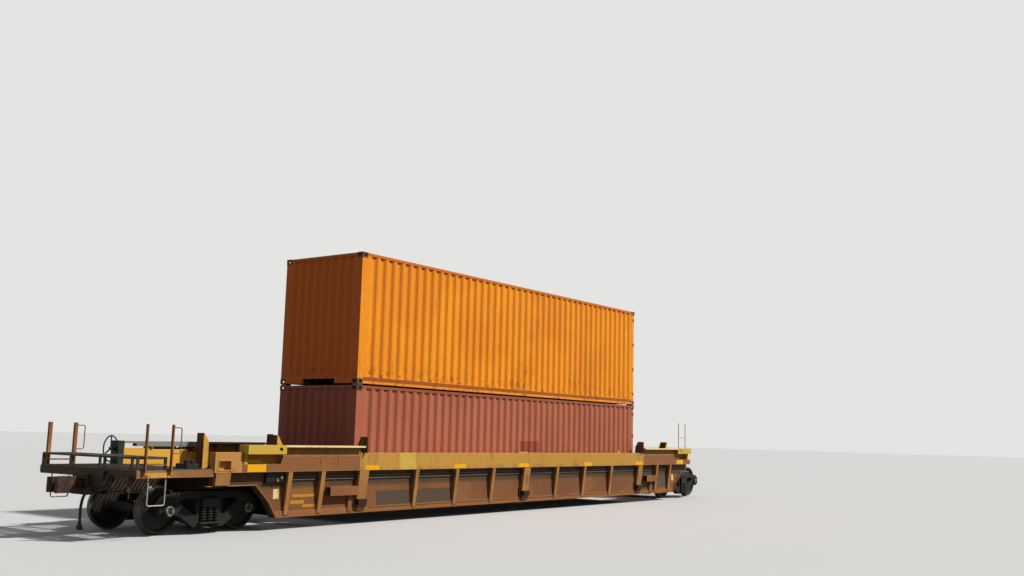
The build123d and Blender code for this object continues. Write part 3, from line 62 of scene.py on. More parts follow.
class Finish:
    """A material being mixed: it starts as one colour, and each layer is laid over it by a mask."""

    def __init__(self, name, colour, roughness=0.6, metallic=0.0):
        self.material = bpy.data.materials.new(name)
        self.material.use_nodes = True
        self.tree = self.material.node_tree
        self.shader = self.tree.nodes["Principled BSDF"]
        self.shader.inputs["Metallic"].default_value = metallic
        self.shader.inputs["Roughness"].default_value = roughness
        self.shader.inputs["Specular IOR Level"].default_value = 0.2
        self.where = self.tree.nodes.new("ShaderNodeTexCoord")
        self.colour = colour
        self.rough = roughness
        self.height = None

    def feed(self, socket, value):
        """Links a node's output to the socket, or sets it to a plain value."""
        if hasattr(value, "node"):
            self.tree.links.new(value, socket)
        else:
            socket.default_value = value

    def math(self, operation, a, b=0.0):
        """The result of a Math node on two values, each a number or a node's output."""
        node = self.tree.nodes.new("ShaderNodeMath")
        node.operation = operation
        self.feed(node.inputs[0], a)
        self.feed(node.inputs[1], b)
        return node.outputs[0]

    def noise(self, size, detail=5, harsh=0.6, stretch=(1, 1, 1), shift=0.0):
        """Noise whose blotches are about size metres across, drawn out along the axes by stretch."""
        place = self.tree.nodes.new("ShaderNodeMapping")
        place.inputs["Location"].default_value = (shift, shift * 1.7, shift * 0.6)
        place.inputs["Scale"].default_value = [1 / s for s in stretch]
        self.tree.links.new(self.where.outputs["Object"], place.inputs["Vector"])
        node = self.tree.nodes.new("ShaderNodeTexNoise")
        node.inputs["Scale"].default_value = 0.5 / size
        node.inputs["Detail"].default_value = detail
        node.inputs["Roughness"].default_value = harsh
        self.tree.links.new(place.outputs[0], node.inputs["Vector"])
        return node.outputs["Fac"]

    def band(self, value, low, high):
        """0 at low, 1 at high, smooth between; low may be the larger of the two."""
        node = self.tree.nodes.new("ShaderNodeMapRange")
        node.interpolation_type = "SMOOTHSTEP"
        self.tree.links.new(value, node.inputs["Value"])
        node.inputs["From Min"].default_value = low
        node.inputs["From Max"].default_value = high
        return node.outputs["Result"]

    def within(self, value, low, high, soft=0.006):
        """1 between low and high, 0 outside."""
        return self.both(self.band(value, low - soft, low + soft), self.band(value, high + soft, high - soft))

    def both(self, *masks):
        """1 where all the masks are."""
        result = masks[0]
        for mask in masks[1:]:
            result = self.math("MULTIPLY", result, mask)
        return result

    def axis(self, letter, start=0.0):
        """The place along X, Y or Z, counted from start."""
        node = self.tree.nodes.new("ShaderNodeSeparateXYZ")
        self.tree.links.new(self.where.outputs["Object"], node.inputs[0])
        return self.math("SUBTRACT", node.outputs[letter], start)

    def off(self, letter, start=0.0):
        """How far along X, Y or Z from start, either way."""
        return self.math("ABSOLUTE", self.axis(letter, start))

    def from_axis(self, centre):
        """How far from the line along Y through centre."""
        across = self.math("POWER", self.off("X", centre.x), 2.0)
        upward = self.math("POWER", self.off("Z", centre.z), 2.0)
        return self.math("SQRT", self.math("ADD", across, upward))

    def facing(self, letter):
        """How far the surface faces along X, Y or Z in the object's own frame."""
        node = self.tree.nodes.new("ShaderNodeSeparateXYZ")
        self.tree.links.new(self.where.outputs["Normal"], node.inputs[0])
        return node.outputs[letter]

    def edges(self, width, least=0.03, most=0.22):
        """1 along edges, to that many metres from them."""
        rounded = self.tree.nodes.new("ShaderNodeBevel")
        rounded.samples = 3
        rounded.inputs["Radius"].default_value = width
        surface = self.tree.nodes.new("ShaderNodeNewGeometry")
        alike = self.tree.nodes.new("ShaderNodeVectorMath")
        alike.operation = "DOT_PRODUCT"
        self.tree.links.new(rounded.outputs[0], alike.inputs[0])
        self.tree.links.new(surface.outputs["Normal"], alike.inputs[1])
        return self.band(alike.outputs["Value"], 1 - least, 1 - most)

    def lay(self, mask, colour, share=1.0):
        """Lays a colour over what is there, as far as the mask says."""
        if share != 1.0:
            mask = self.math("MULTIPLY", mask, share)
        node = self.tree.nodes.new("ShaderNodeMix")
        node.data_type = "RGBA"
        self.tree.links.new(mask, node.inputs["Factor"])
        self.feed(node.inputs[6], self.colour)
        self.feed(node.inputs[7], colour)
        self.colour = node.outputs[2]

    def roughen(self, mask, roughness):
        """Moves the roughness towards a value as far as the mask says."""
        node = self.tree.nodes.new("ShaderNodeMix")
        self.tree.links.new(mask, node.inputs["Factor"])
        self.feed(node.inputs[2], self.rough)
        self.feed(node.inputs[3], roughness)
        self.rough = node.outputs[0]

    def blotches(self, size, low, high, colour, share, *noise, **more):
        """Lays a colour in blotches of that size, where the noise rises from low to high."""
        self.lay(self.band(self.noise(size, *noise, **more), low, high), colour, share)

    def relief(self, value, depth):
        """Adds a bump of that many metres."""
        value = self.math("MULTIPLY", value, depth)
        self.height = value if self.height is None else self.math("ADD", self.height, value)

    def done(self, *names):
        """Wires the layers to the shader and gives the material to these CAD nodes."""
        self.feed(self.shader.inputs["Base Color"], self.colour)
        self.feed(self.shader.inputs["Roughness"], self.rough)
        if self.height is not None:
            bump = self.tree.nodes.new("ShaderNodeBump")
            bump.inputs["Distance"].default_value = 1.0
            self.tree.links.new(self.height, bump.inputs["Height"])
            self.tree.links.new(bump.outputs[0], self.shader.inputs["Normal"])
        for name in names:
            nodes[name].data.materials.clear()
            nodes[name].data.materials.append(self.material)
        return self.material


casting = Finish("dusty_casting", srgb(28, 33, 30), 0.85)
casting.blotches(0.25, 0.45, 0.62, srgb(40, 42, 37), 0.7)
casting.blotches(0.06, 0.54, 0.66, srgb(62, 50, 39), 0.4, 8, 0.7, shift=4)
casting.lay(casting.band(casting.facing("Z"), 0.4, 0.9), srgb(72, 68, 58), 0.5)
casting.lay(casting.edges(0.02), srgb(84, 80, 70), 0.3)
casting.relief(casting.noise(0.012, 3, 0.7), 0.0016)
casting.done("side_frames_a", "side_frames_b")

# Wheels and axles: wheels rolled or cast in steel and pressed on forged axles. The treads run bright,
# the plates are dull with dust, and the bearing end caps are cleaner where they were greased.
flange_depth = 0.0254
worn_from, worn_to = 0.014, 0.006
cap_ring = (0.054, 0.092)
cap_from_y, cap_to_y = 1.085, 1.097
for wheelset in ("a1", "a2", "b1", "b2"):
    low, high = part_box(f"wheels_{wheelset}")
    centre = (low + high) / 2
    tread_radius = (high.x - low.x) / 2 - flange_depth
    wheel = Finish(f"wheel_steel_{wheelset}", srgb(36, 33, 30), 0.6)
    wheel.blotches(0.12, 0.42, 0.64, srgb(54, 46, 38), 0.65, 6)
    wheel.blotches(0.02, 0.56, 0.68, srgb(28, 26, 24), 0.6, 8, 0.7, shift=2)
    worn_bright = wheel.band(wheel.from_axis(centre), tread_radius - worn_from, tread_radius - worn_to)
    wheel.lay(worn_bright, srgb(116, 112, 104), 0.8)
    wheel.roughen(worn_bright, 0.32)
    wheel.relief(wheel.noise(0.008, 3, 0.7), 0.0006)
    wheel.done(f"wheels_{wheelset}")
    axle = Finish(f"axle_steel_{wheelset}", srgb(38, 35, 31), 0.6)
    axle.blotches(0.1, 0.42, 0.62, srgb(56, 46, 37), 0.6, 6)
    cap = axle.both(axle.band(axle.off("Y"), cap_from_y, cap_to_y),
                    axle.within(axle.from_axis(centre), *cap_ring, 0.004))
    axle.lay(axle.both(cap, axle.band(axle.noise(0.03, 6), 0.40, 0.5)), srgb(138, 136, 122), 0.85)
    axle.relief(axle.noise(0.008, 3, 0.7), 0.0006)
    axle.done(f"axle_{wheelset}")

# Truck bolsters and brake beams: castings like the side frames, between them. The bolster carries the
# wagon on its centre bowl, and the beams press the brake shoes on the treads.
bolster_casting = Finish("bolster_casting", srgb(36, 36, 33), 0.75)
bolster_casting.blotches(0.2, 0.44, 0.62, srgb(50, 45, 38), 0.7)
bolster_casting.relief(bolster_casting.noise(0.012, 3, 0.7), 0.0014)
bolster_casting.done("bolster_a", "bolster_b", "brake_beams_a", "brake_beams_b")

# Spring nests: hot-wound steel coils, six under each end of a bolster, that stand loose between the
# bolster and the side frame's spring seat.


def round_bar(name, radius, smooth):
    """A curve that is drawn as round bar with closed ends, without its course, and its object."""
    curve = bpy.data.curves.new(name, "CURVE")
    curve.dimensions = "3D"
    curve.bevel_depth = radius
    curve.bevel_resolution = smooth
    curve.use_fill_caps = True
    bar = bpy.data.objects.new(name, curve)
    scene.collection.objects.link(bar)
    return bar


spring_steel = Finish("spring_steel", srgb(36, 36, 34), 0.65)
spring_steel.blotches(0.05, 0.45, 0.62, srgb(52, 44, 37), 0.6, 6)
spring_steel.relief(spring_steel.noise(0.006, 3), 0.0005)
spring_steel.done("springs_a", "springs_b")
coil_columns = (-0.145, 0, 0.145)
coil_rows = (-0.072, 0.072)
coil_inset = 0.14
coil_radius = 0.055
coil_wire = 0.013
coil_turns = 5
coil_steps = 20
for letter in "ab":
    low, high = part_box(f"springs_{letter}")
    middle = (low + high) / 2
    coils = round_bar(f"coil_springs_{letter}", coil_wire, 2)
    count = coil_turns * coil_steps
    rise = (high.z - low.z - 2 * coil_wire) / count
    for side_y in (low.y + coil_inset, high.y - coil_inset):
        for column in coil_columns:
            for row in coil_rows:
                spline = coils.data.splines.new("POLY")
                spline.points.add(count)
                for n in range(count + 1):
                    turn = 2 * math.pi * n / coil_steps
                    spline.points[n].co = (middle.x + column + coil_radius * math.cos(turn),
                                           side_y + row + coil_radius * math.sin(turn),
                                           low.z + coil_wire + rise * n, 1)
    coils.data.materials.append(spring_steel.material)
    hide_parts(f"springs_{letter}")
    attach(coils, f"truck_{letter}")

# Underframe ends and well floor: welded steel plates, sills and bearers, painted with the wagon and
# darkened by dirt thrown up from below.
underframe = Finish("underframe_paint", srgb(50, 40, 31), 0.75)
underframe.blotches(0.5, 0.42, 0.6, srgb(72, 54, 37), 0.6)
underframe.blotches(0.08, 0.5, 0.66, srgb(44, 36, 30), 0.6, 8, 0.7, shift=3)
underframe.relief(underframe.noise(0.02, 4), 0.0012)
underframe.done("end_frame_a", "end_frame_b", "well_floor")

# Well sides: a flat sheet with its bottom angle and pressed posts, welded under the chord. Faded
# yellow paint gone tan and brown, with rust running down, dirt and a painted shadow under the chord,
# dirt thrown up from below, and rectangles painted over in dark grey.
low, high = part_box("lower_frame")
well_x = (low.x + high.x) / 2
rail_z = flange_depth
sheet_y = 1.380
sheet_inside = (1.3715, 1.3705)
post_y = 1.402
angle_from_y = (sheet_y + 0.010, sheet_y + 0.014)
angle_top = (0.35, 0.33)
shadow_and_dirt_from = (0.73, 0.84)
panel_half = 5.87
panel_top = 0.92
panel_bottom = 0.297
corner_radius = 0.16
seam_from, seam_to = corner_radius - 0.022, corner_radius + 0.004
painted_out = ((-5.52, -4.38, 0.335, 0.650), (-4.26, -2.94, 0.340, 0.655))
repair_patch = (7.36, 7.975, 0.400, 0.800)
sooty_span = (6.22, 7.05)
sooty_from = (0.30, 0.34)
streaked_z = (0.2, 0.8)
splashed_z = (0.42, 0.20)
side = Finish("side_paint", srgb(126, 82, 48), 0.65)
# Here and below, x counts from the well's middle, z from the wheels' treads, out from the centre line.
x, z, out = side.axis("X", well_x), side.axis("Z", rail_z), side.off("Y")
side.blotches(0.9, 0.38, 0.62, srgb(110, 70, 42), 0.8, 4)
side.blotches(0.35, 0.5, 0.64, srgb(142, 95, 53), 0.6, 6, 0.62, (2, 1, 1), 5)
for x0, x1, z0, z1 in painted_out:
    side.lay(side.both(side.within(x, x0, x1), side.within(z, z0, z1)), srgb(72, 62, 50), 0.92)
x0, x1, z0, z1 = repair_patch
side.lay(side.both(side.within(x, x0, x1), side.within(z, z0, z1)), srgb(78, 72, 54), 0.9)
side.lay(side.both(side.band(out, *angle_from_y), side.band(z, *angle_top)), srgb(158, 102, 54), 0.8)
side.lay(side.both(side.within(x, *sooty_span, 0.03), side.band(z, *sooty_from)), srgb(74, 62, 44), 0.8)
# Painted shadow with some dirt under the chord: the sheet darkens from 0.73 m up to 0.84 m and stays dark
# above.
side.lay(side.band(z, *shadow_and_dirt_from), srgb(56, 46, 33), 0.8)
post_face = side.band(out, post_y - 0.001, post_y + 0.001)
side.lay(post_face, srgb(160, 112, 64))
side.lay(side.both(post_face, side.band(side.noise(0.3, 5), 0.44, 0.6)), srgb(178, 130, 70), 0.7)
past = side.math("MAXIMUM", side.math("SUBTRACT", side.math("ABSOLUTE", x), panel_half - corner_radius))
below = side.math("MAXIMUM", side.math("SUBTRACT", panel_bottom + corner_radius, z))
reach = side.math("SQRT", side.math("ADD", side.math("POWER", past, 2.0), side.math("POWER", below, 2.0)))
seam = side.both(side.within(reach, seam_from, seam_to), side.band(z, panel_top, panel_top - 0.01),
                 side.band(out, post_y, post_y - 0.002))
side.lay(seam, srgb(70, 42, 25), 0.85)
streaks = side.band(side.noise(0.07, 7, 0.62, (1, 1, 7), 2), 0.52, 0.66)
side.lay(side.both(streaks, side.band(z, *streaked_z)), srgb(104, 68, 44), 0.55)
side.blotches(0.03, 0.58, 0.66, srgb(84, 50, 30), 0.7, 9, 0.72, shift=6)
side.lay(side.both(side.edges(0.012), side.band(side.noise(0.2), 0.4, 0.55)), srgb(190, 146, 92), 0.5)
side.lay(side.band(z, *splashed_z), srgb(104, 70, 42), 0.35)
side.lay(side.band(out, *sheet_inside), srgb(58, 46, 37), 0.9)
side.relief(side.noise(0.03, 9, 0.72, shift=6), 0.0006)
side.relief(side.noise(0.5, 2), 0.004)
side.done("side_near", "side_far")

# Weld beads round the well's middle side panel, whose lower corners are rounded: steel laid down when
# the panel is welded in its frame, and painted with it.
bead_radius = 0.006
bead_paint = Finish("bead_paint", srgb(62, 38, 24), 0.7)
bead_paint.blotches(0.1, 0.4, 0.6, srgb(88, 56, 34), 0.7)
bead_paint.relief(bead_paint.noise(0.006, 3), 0.001)
bead_paint.done()
curve_pull = 0.55 * corner_radius
down, along, up = Vector((0, 0, -curve_pull)), Vector((curve_pull, 0, 0)), Vector((0, 0, curve_pull))
bead_course = ((-panel_half, panel_top, down), (-panel_half, panel_bottom + corner_radius, down),
               (-panel_half + corner_radius, panel_bottom, along),
               (panel_half - corner_radius, panel_bottom, along),
               (panel_half, panel_bottom + corner_radius, up), (panel_half, panel_top, up))
for name, side_y in (("near", -sheet_y), ("far", sheet_y)):
    bead = round_bar(f"panel_weld_{name}", bead_radius, 4)
    spline = bead.data.splines.new("BEZIER")
    spline.bezier_points.add(len(bead_course) - 1)
    for point, (course_x, course_z, heading) in zip(spline.bezier_points, bead_course):
        point.co = (well_x + course_x, side_y, rail_z + course_z)
        point.handle_left = point.co - heading
        point.handle_right = point.co + heading
    bead.data.materials.append(bead_paint.material)
    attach(bead, "root")

# Fittings on the sides: two air pipes behind the posts, the black valve box with its bright bosses, the
# bracket boxes with their feet, and a black socket under each box post with a tan wedge below it.
pipe_steel = Finish("pipe_steel", srgb(86, 82, 72), 0.5, 0.2)
pipe_steel.blotches(0.3, 0.42, 0.62, srgb(62, 52, 42), 0.8, 6, stretch=(4, 1, 1))
pipe_steel.relief(pipe_steel.noise(0.01, 3), 0.0004)
pipe_steel.done("side_pipes")
valve_paint = Finish("valve_paint", srgb(16, 17, 16), 0.6)
valve_paint.blotches(0.06, 0.5, 0.64, srgb(32, 30, 27), 0.6, 6)
boss_face = (sheet_y + 0.0635, sheet_y + 0.0655)
valve_paint.lay(valve_paint.band(valve_paint.off("Y"), *boss_face), srgb(124, 126, 118), 0.8)
valve_paint.relief(valve_paint.noise(0.01, 3), 0.0006)
valve_paint.done("valve_box")
box_posts = (-6.04, 0.0, 6.04)
socket_half = 0.13
socket_z = (0.385, 0.505)
bracket = Finish("bracket_paint", srgb(138, 90, 52), 0.65)
x, z = bracket.axis("X", well_x), bracket.axis("Z", rail_z)
bracket.blotches(0.4, 0.42, 0.6, srgb(118, 77, 45), 0.8, 5)
for post in box_posts:
    socket = bracket.both(bracket.within(x, post - socket_half, post + socket_half),
                          bracket.within(z, *socket_z, 0.003))
    bracket.lay(socket, srgb(26, 24, 22))
bracket.blotches(0.03, 0.57, 0.66, srgb(86, 52, 32), 0.7, 9, 0.7, shift=1)
bracket.lay(bracket.edges(0.01), srgb(196, 150, 98), 0.3)
bracket.relief(bracket.noise(0.03, 6), 0.0006)
bracket.done("side_brackets")

# Lock bars beside the box posts: a forged steel bar with three studs, hung flat on the side sheet, dark
# with grease.


def boxes_piece(name, boxes, material, body="root", edge=0.002, studs=()):
    """One piece of boxes, given as X, Y and Z spans, with rounded edges, and of round studs along Y."""
    shape = bmesh.new()
    for spans in boxes:
        for vertex in bmesh.ops.create_cube(shape, size=1)["verts"]:
            for n, (start, end) in enumerate(spans):
                vertex.co[n] = start if vertex.co[n] < 0 else end
    for middle, radius, length in studs:
        place = Matrix.Translation(middle) @ Matrix.Rotation(math.pi / 2, 4, "X")
        bmesh.ops.create_cone(shape, cap_ends=True, segments=20, radius1=radius, radius2=radius, depth=length,
                              matrix=place)
    sharp = [e for e in shape.edges if len(e.link_faces) == 2 and e.calc_face_angle() > 1]
    bmesh.ops.bevel(shape, geom=sharp, offset=edge, segments=2, affect="EDGES")
    mesh = bpy.data.meshes.new(name)
    shape.to_mesh(mesh)
    shape.free()
    mesh.materials.append(material)
    piece = bpy.data.objects.new(name, mesh)
    scene.collection.objects.link(piece)
    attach(piece, body)


def both_sides(boxes):
    """The same boxes on the near side and, mirrored, on the far side."""
    return [((x0 + well_x, x1 + well_x), tuple(sorted((s * y0, s * y1))), (z0 + rail_z, z1 + rail_z))
            for s in (-1, 1) for (x0, x1), (y0, y1), (z0, z1) in boxes]


lock_steel = Finish("lock_bar_steel", srgb(30, 29, 26), 0.5)
lock_steel.blotches(0.03, 0.5, 0.62, srgb(70, 56, 42), 0.6, 6)
lock_steel.relief(lock_steel.noise(0.006, 3), 0.0004)
lock_steel.done()
bar_from_post = 0.205
bar_x = [post - bar_from_post for post in box_posts]
bar_half = 0.02
bar_y = (sheet_y - 0.001, sheet_y + 0.022)
bar_z = (0.345, 0.575)
stud_y = sheet_y + 0.03
stud_heights = (0.375, 0.46, 0.545)
stud_radius, stud_length = 0.016, 0.03
bars = [((x0 - bar_half, x0 + bar_half), bar_y, bar_z) for x0 in bar_x]
studs = [((x0 + well_x, s * stud_y, z0 + rail_z), stud_radius, stud_length)
         for s in (-1, 1) for x0 in bar_x for z0 in stud_heights]
boxes_piece("lock_bars", both_sides(bars), lock_steel.material, edge=0.004, studs=studs)

# Blank plates on the side sheets: thin painted metal and stuck-on film, yellow and pale, scuffed and
# dirty at their edges.
yellow_plates = (((-7.93, -7.31), (0.590, 0.648)), ((-7.97, -7.61), (0.460, 0.530)),
                 ((-7.65, -7.28), (0.388, 0.445)))
pale_plates = (((-8.42, -8.28), (0.575, 0.765)), ((8.31, 8.45), (0.585, 0.775)),
               ((7.00, 7.20), (0.71, 0.755)))
plate_thickness = 0.0015
for name, colour, plates in (("yellow_plates", srgb(186, 130, 36), yellow_plates),
                             ("pale_plates", srgb(214, 200, 140), pale_plates)):
    plate_paint = Finish(name, colour, 0.5)
    plate_paint.blotches(0.05, 0.5, 0.66, srgb(136, 92, 44), 0.65, 7, 0.65)
    plate_paint.relief(plate_paint.noise(0.02, 5), 0.0004)
    boxes = [(span, (sheet_y - 0.001, sheet_y + plate_thickness), height) for span, height in plates]
    boxes_piece(name, both_sides(boxes), plate_paint.done(), edge=0.0006)

# Top chords: square steel tubes that carry the wagon's length, cut down to a notch near each end. The
# middle keeps its faded yellow, the ends have gone brown, and the sheltered inner faces are still fresh.
chord_y = 1.520
chord_high_half = 6.2
chord_box_x = -9.33
chord_bottom = 1.100
low_dirt_z = (chord_bottom + 0.14, chord_bottom)
chord_inside = (1.3725, 1.3715)
marked_line_y = (chord_y - 0.0075, chord_y - 0.0045)
notch_web_face = (1.385, 1.383)
notch_web_z = (1.24, 1.256)
notch_from_x = (8.3, 8.34)
repainted = (-4.95, -4.39)
chord = Finish("chord_paint", srgb(184, 139, 60), 0.6)
x, z, out = chord.axis("X", well_x), chord.axis("Z", rail_z), chord.off("Y")
chord.blotches(1.5, 0.4, 0.62, srgb(180, 133, 56), 0.8, 4)
either_x = chord.math("ABSOLUTE", x)
chord.lay(chord.band(either_x, chord_high_half - 0.004, chord_high_half + 0.004), srgb(132, 86, 49))
chord.lay(chord.band(x, chord_box_x + 0.004, chord_box_x - 0.004), srgb(180, 130, 68))
chord.lay(chord.within(x, *repainted), srgb(198, 166, 74), 0.85)
chord.blotches(0.10, 0.54, 0.68, srgb(150, 100, 54), 0.5, 7, 0.6, (1, 1, 4), 2)
low_dirt = chord.both(chord.band(z, *low_dirt_z), chord.band(chord.noise(0.2, 6), 0.46, 0.6))
chord.lay(low_dirt, srgb(140, 92, 50), 0.6)
chord.blotches(0.022, 0.60, 0.67, srgb(78, 46, 28), 0.8, 9, 0.74, shift=6)
chord.lay(chord.both(chord.edges(0.012), chord.band(chord.noise(0.15), 0.38, 0.5)), srgb(228, 198, 138), 0.7)
marked_lines = chord.both(chord.within(out, *marked_line_y, 0.0004),
                          chord.band(chord.math("ABSOLUTE", chord.facing("Y")), 0.5, 0.9))
chord.lay(marked_lines, srgb(52, 50, 48))
notch_web = chord.both(chord.band(out, *notch_web_face), chord.band(z, *notch_web_z),
                       chord.band(either_x, *notch_from_x))
chord.lay(notch_web, srgb(188, 128, 46), 0.85)
chord.lay(chord.band(out, *chord_inside), srgb(222, 168, 58), 0.9)
chord.relief(chord.noise(0.022, 9, 0.74, shift=6), 0.0005)
chord.relief(chord.noise(0.6, 2), 0.005)
chord.done("top_chord_near", "top_chord_far")

# Reflectors along the chords: retroreflective yellow sheet stuck on thin plates, which are fixed on the
# chords' faces and on the webs of their end notches.
reflectors = ((-6.02, -5.60), (-3.03, -2.58), (-0.42, 0.03), (2.73, 3.16), (5.70, 6.16))
reflector_z = (1.106, 1.200)
end_reflectors = ((-9.20, -8.75), (8.42, 8.88))
end_reflector_z = (1.106, 1.246)
web_reflector_z = (1.252, 1.325)
notch_web_y = 1.382
reflective = Finish("reflector_sheet", srgb(234, 168, 8), 0.35)
reflective.blotches(0.04, 0.54, 0.68, srgb(190, 126, 16), 0.5, 8, 0.7)
reflective.blotches(0.3, 0.5, 0.66, srgb(222, 156, 10), 0.6, 3, shift=3)
reflective.relief(reflective.noise(0.004, 2), 0.0002)
on_chord = (chord_y - 0.002, chord_y + 0.0015)
on_web = (notch_web_y - 0.001, notch_web_y + 0.002)
boxes = [(span, on_chord, reflector_z) for span in reflectors]
boxes += [(span, on_chord, end_reflector_z) for span in end_reflectors]
boxes += [(span, on_web, web_reflector_z) for span in end_reflectors]
boxes_piece("reflectors", both_sides(boxes), reflective.done(), edge=0.0006)

# Walkways: a bent tread plate with a lip, on a web that stands on the chord, and a stouter yellow plate
# with a round hole at each end. The tread's lip is painted pale as a highlight, the web under it is brown with
# dirt.
yellow_from = 8.34
lip_y = (1.6105, 1.6125)
inner_lip_y = (1.3515, 1.3505)
inner_lip_z = (1.499, 1.504)
walkway = Finish("walkway_paint", srgb(162, 114, 58), 0.65)
x, z, out = walkway.axis("X", well_x), walkway.axis("Z", rail_z), walkway.off("Y")
walkway.blotches(0.5, 0.42, 0.6, srgb(138, 95, 48), 0.8, 5)
walkway.lay(walkway.band(walkway.facing("Z"), 0.5, 0.9), srgb(184, 164, 128), 0.9)
# Painted highlight: the tread's lip is painted pale, as its edge catching the light.
walkway.lay(walkway.band(out, *lip_y), srgb(236, 206, 146))
yellow_end = walkway.band(walkway.math("ABSOLUTE", x), yellow_from - 0.002, yellow_from + 0.002)
walkway.lay(yellow_end, srgb(198, 162, 62))
walkway.lay(walkway.both(walkway.band(out, *inner_lip_y), walkway.band(z, *inner_lip_z)), srgb(128, 132, 124))
walkway.blotches(0.02, 0.6, 0.67, srgb(70, 46, 30), 0.8, 9, 0.72, shift=6)
walkway.blotches(0.15, 0.54, 0.68, srgb(130, 88, 50), 0.4, 7, 0.6, (1, 1, 4), 2)
walkway.relief(walkway.noise(0.02, 9, 0.72, shift=6), 0.0005)
walkway.done("walkway_near", "walkway_far")

# Container guides: upright plates with gussets at the well's ends and at the 40-foot corners, dark
# brown, which is mostly painted shade, with rust blotches; the end guides' outward faces keep their yellow.
end_guides_from = (7.5, 7.6)
yellow_guide_x = 4.775
yellow_guide_half = (0.09, 0.08)
# The guides' dark brown is mostly painted shade; yellow is laid on the end guides' faces turned along Y, and
# on one guide all over.
guide = Finish("guide_paint", srgb(88, 60, 40), 0.75)
x = guide.off("X", well_x)
guide.blotches(0.3, 0.42, 0.6, srgb(112, 76, 48), 0.8, 5)
outward = guide.math("ABSOLUTE", guide.facing("Y"))
guide.lay(guide.both(guide.band(x, *end_guides_from), guide.band(outward, 0.6, 0.9)), srgb(208, 160, 64), 0.95)
guide.lay(guide.band(guide.off("X", well_x + yellow_guide_x), *yellow_guide_half), srgb(204, 156, 60), 0.9)
guide.blotches(0.04, 0.54, 0.64, srgb(70, 42, 28), 0.7, 9, 0.7, shift=2)
guide.relief(guide.noise(0.03, 8, 0.7), 0.0008)
guide.done("container_guides")

# Crossover platform: angles and channels at the coupler end with an open steel deck, and a raised step
# across its front on legs. Painted with the wagon, with painted shade on its faces turned toward -X and on its
# undersides; the decks are walked bare.
platform = Finish("platform_paint", srgb(150, 101, 60), 0.65)
platform.blotches(0.5, 0.4, 0.62, srgb(130, 86, 51), 0.8, 5)
# Painted shade on the faces turned toward -X.
platform.lay(platform.band(platform.facing("X"), -0.5, -0.9), srgb(44, 36, 28), 0.9)
# Painted shade on the undersides.
platform.lay(platform.band(platform.facing("Z"), -0.4, -0.9), srgb(30, 25, 21), 0.85)
platform.blotches(0.03, 0.57, 0.66, srgb(86, 52, 32), 0.8, 9, 0.7, shift=6)
platform.lay(platform.edges(0.012), srgb(200, 156, 106), 0.35)
platform.relief(platform.noise(0.03, 8, 0.7), 0.0006)
platform.done("platform")
deck = Finish("deck_steel", srgb(96, 93, 84), 0.6)
deck.blotches(0.15, 0.45, 0.64, srgb(78, 68, 56), 0.7, 6)
deck.blotches(0.6, 0.5, 0.7, srgb(128, 122, 108), 0.5, 3, shift=2)
deck.relief(deck.noise(0.01, 3), 0.0006)
deck.done("deck_grating")
step = Finish("step_steel", srgb(58, 60, 57), 0.6)
step.blotches(0.12, 0.46, 0.62, srgb(44, 40, 35), 0.7, 6)
step.lay(step.band(step.facing("Z"), 0.5, 0.9), srgb(132, 130, 120), 0.8)
step.relief(step.noise(0.01, 3), 0.0006)
step.done("raised_step")

# Stanchions and hand holds at the platform's corners: angles, bent round bar and a stirrup step, in
# yellow gone tan, with painted shade on the faces turned toward -X; the stirrup is worn to pale steel by
# boots.
end_plate_z = (1.02, 1.125)
stirrup_from = (1.02, 1.0)
stanchion = Finish("stanchion_paint", srgb(160, 104, 56), 0.6)
z = stanchion.axis("Z", rail_z)
stanchion.blotches(0.25, 0.42, 0.6, srgb(128, 80, 44), 0.8, 5)
# Painted shade on the faces turned toward -X.
stanchion.lay(stanchion.band(stanchion.facing("X"), -0.5, -0.9), srgb(96, 64, 40), 0.75)
stanchion.lay(stanchion.within(z, *end_plate_z), srgb(204, 156, 72), 0.8)
stanchion.lay(stanchion.band(z, *stirrup_from), srgb(176, 172, 160), 0.85)
stanchion.blotches(0.02, 0.56, 0.66, srgb(92, 56, 34), 0.8, 9, 0.7, shift=3)
stanchion.relief(stanchion.noise(0.02, 8, 0.7), 0.0004)
stanchion.done("stanchions")

# Coupler: a cast knuckle coupler, never painted so that its moving parts stay in view; even rust. The
# lever that lifts its lock, and the bracket box beside it, are black with grease and brake dust.
rusty_casting = Finish("rusty_casting", srgb(58, 44, 35), 0.8)
rusty_casting.blotches(0.08, 0.44, 0.62, srgb(92, 66, 46), 0.7, 7)
rusty_casting.lay(rusty_casting.edges(0.015), srgb(124, 108, 90), 0.35)
rusty_casting.relief(rusty_casting.noise(0.01, 4, 0.7), 0.0015)
rusty_casting.done("coupler", "knuckle")
greasy = Finish("greasy_steel", srgb(38, 37, 34), 0.6)
greasy.blotches(0.08, 0.48, 0.64, srgb(64, 52, 41), 0.6, 7)
greasy.relief(greasy.noise(0.01, 4, 0.7), 0.0008)
greasy.done("uncoupling_lever", "end_bracket", "brake_valves", "hose_head")

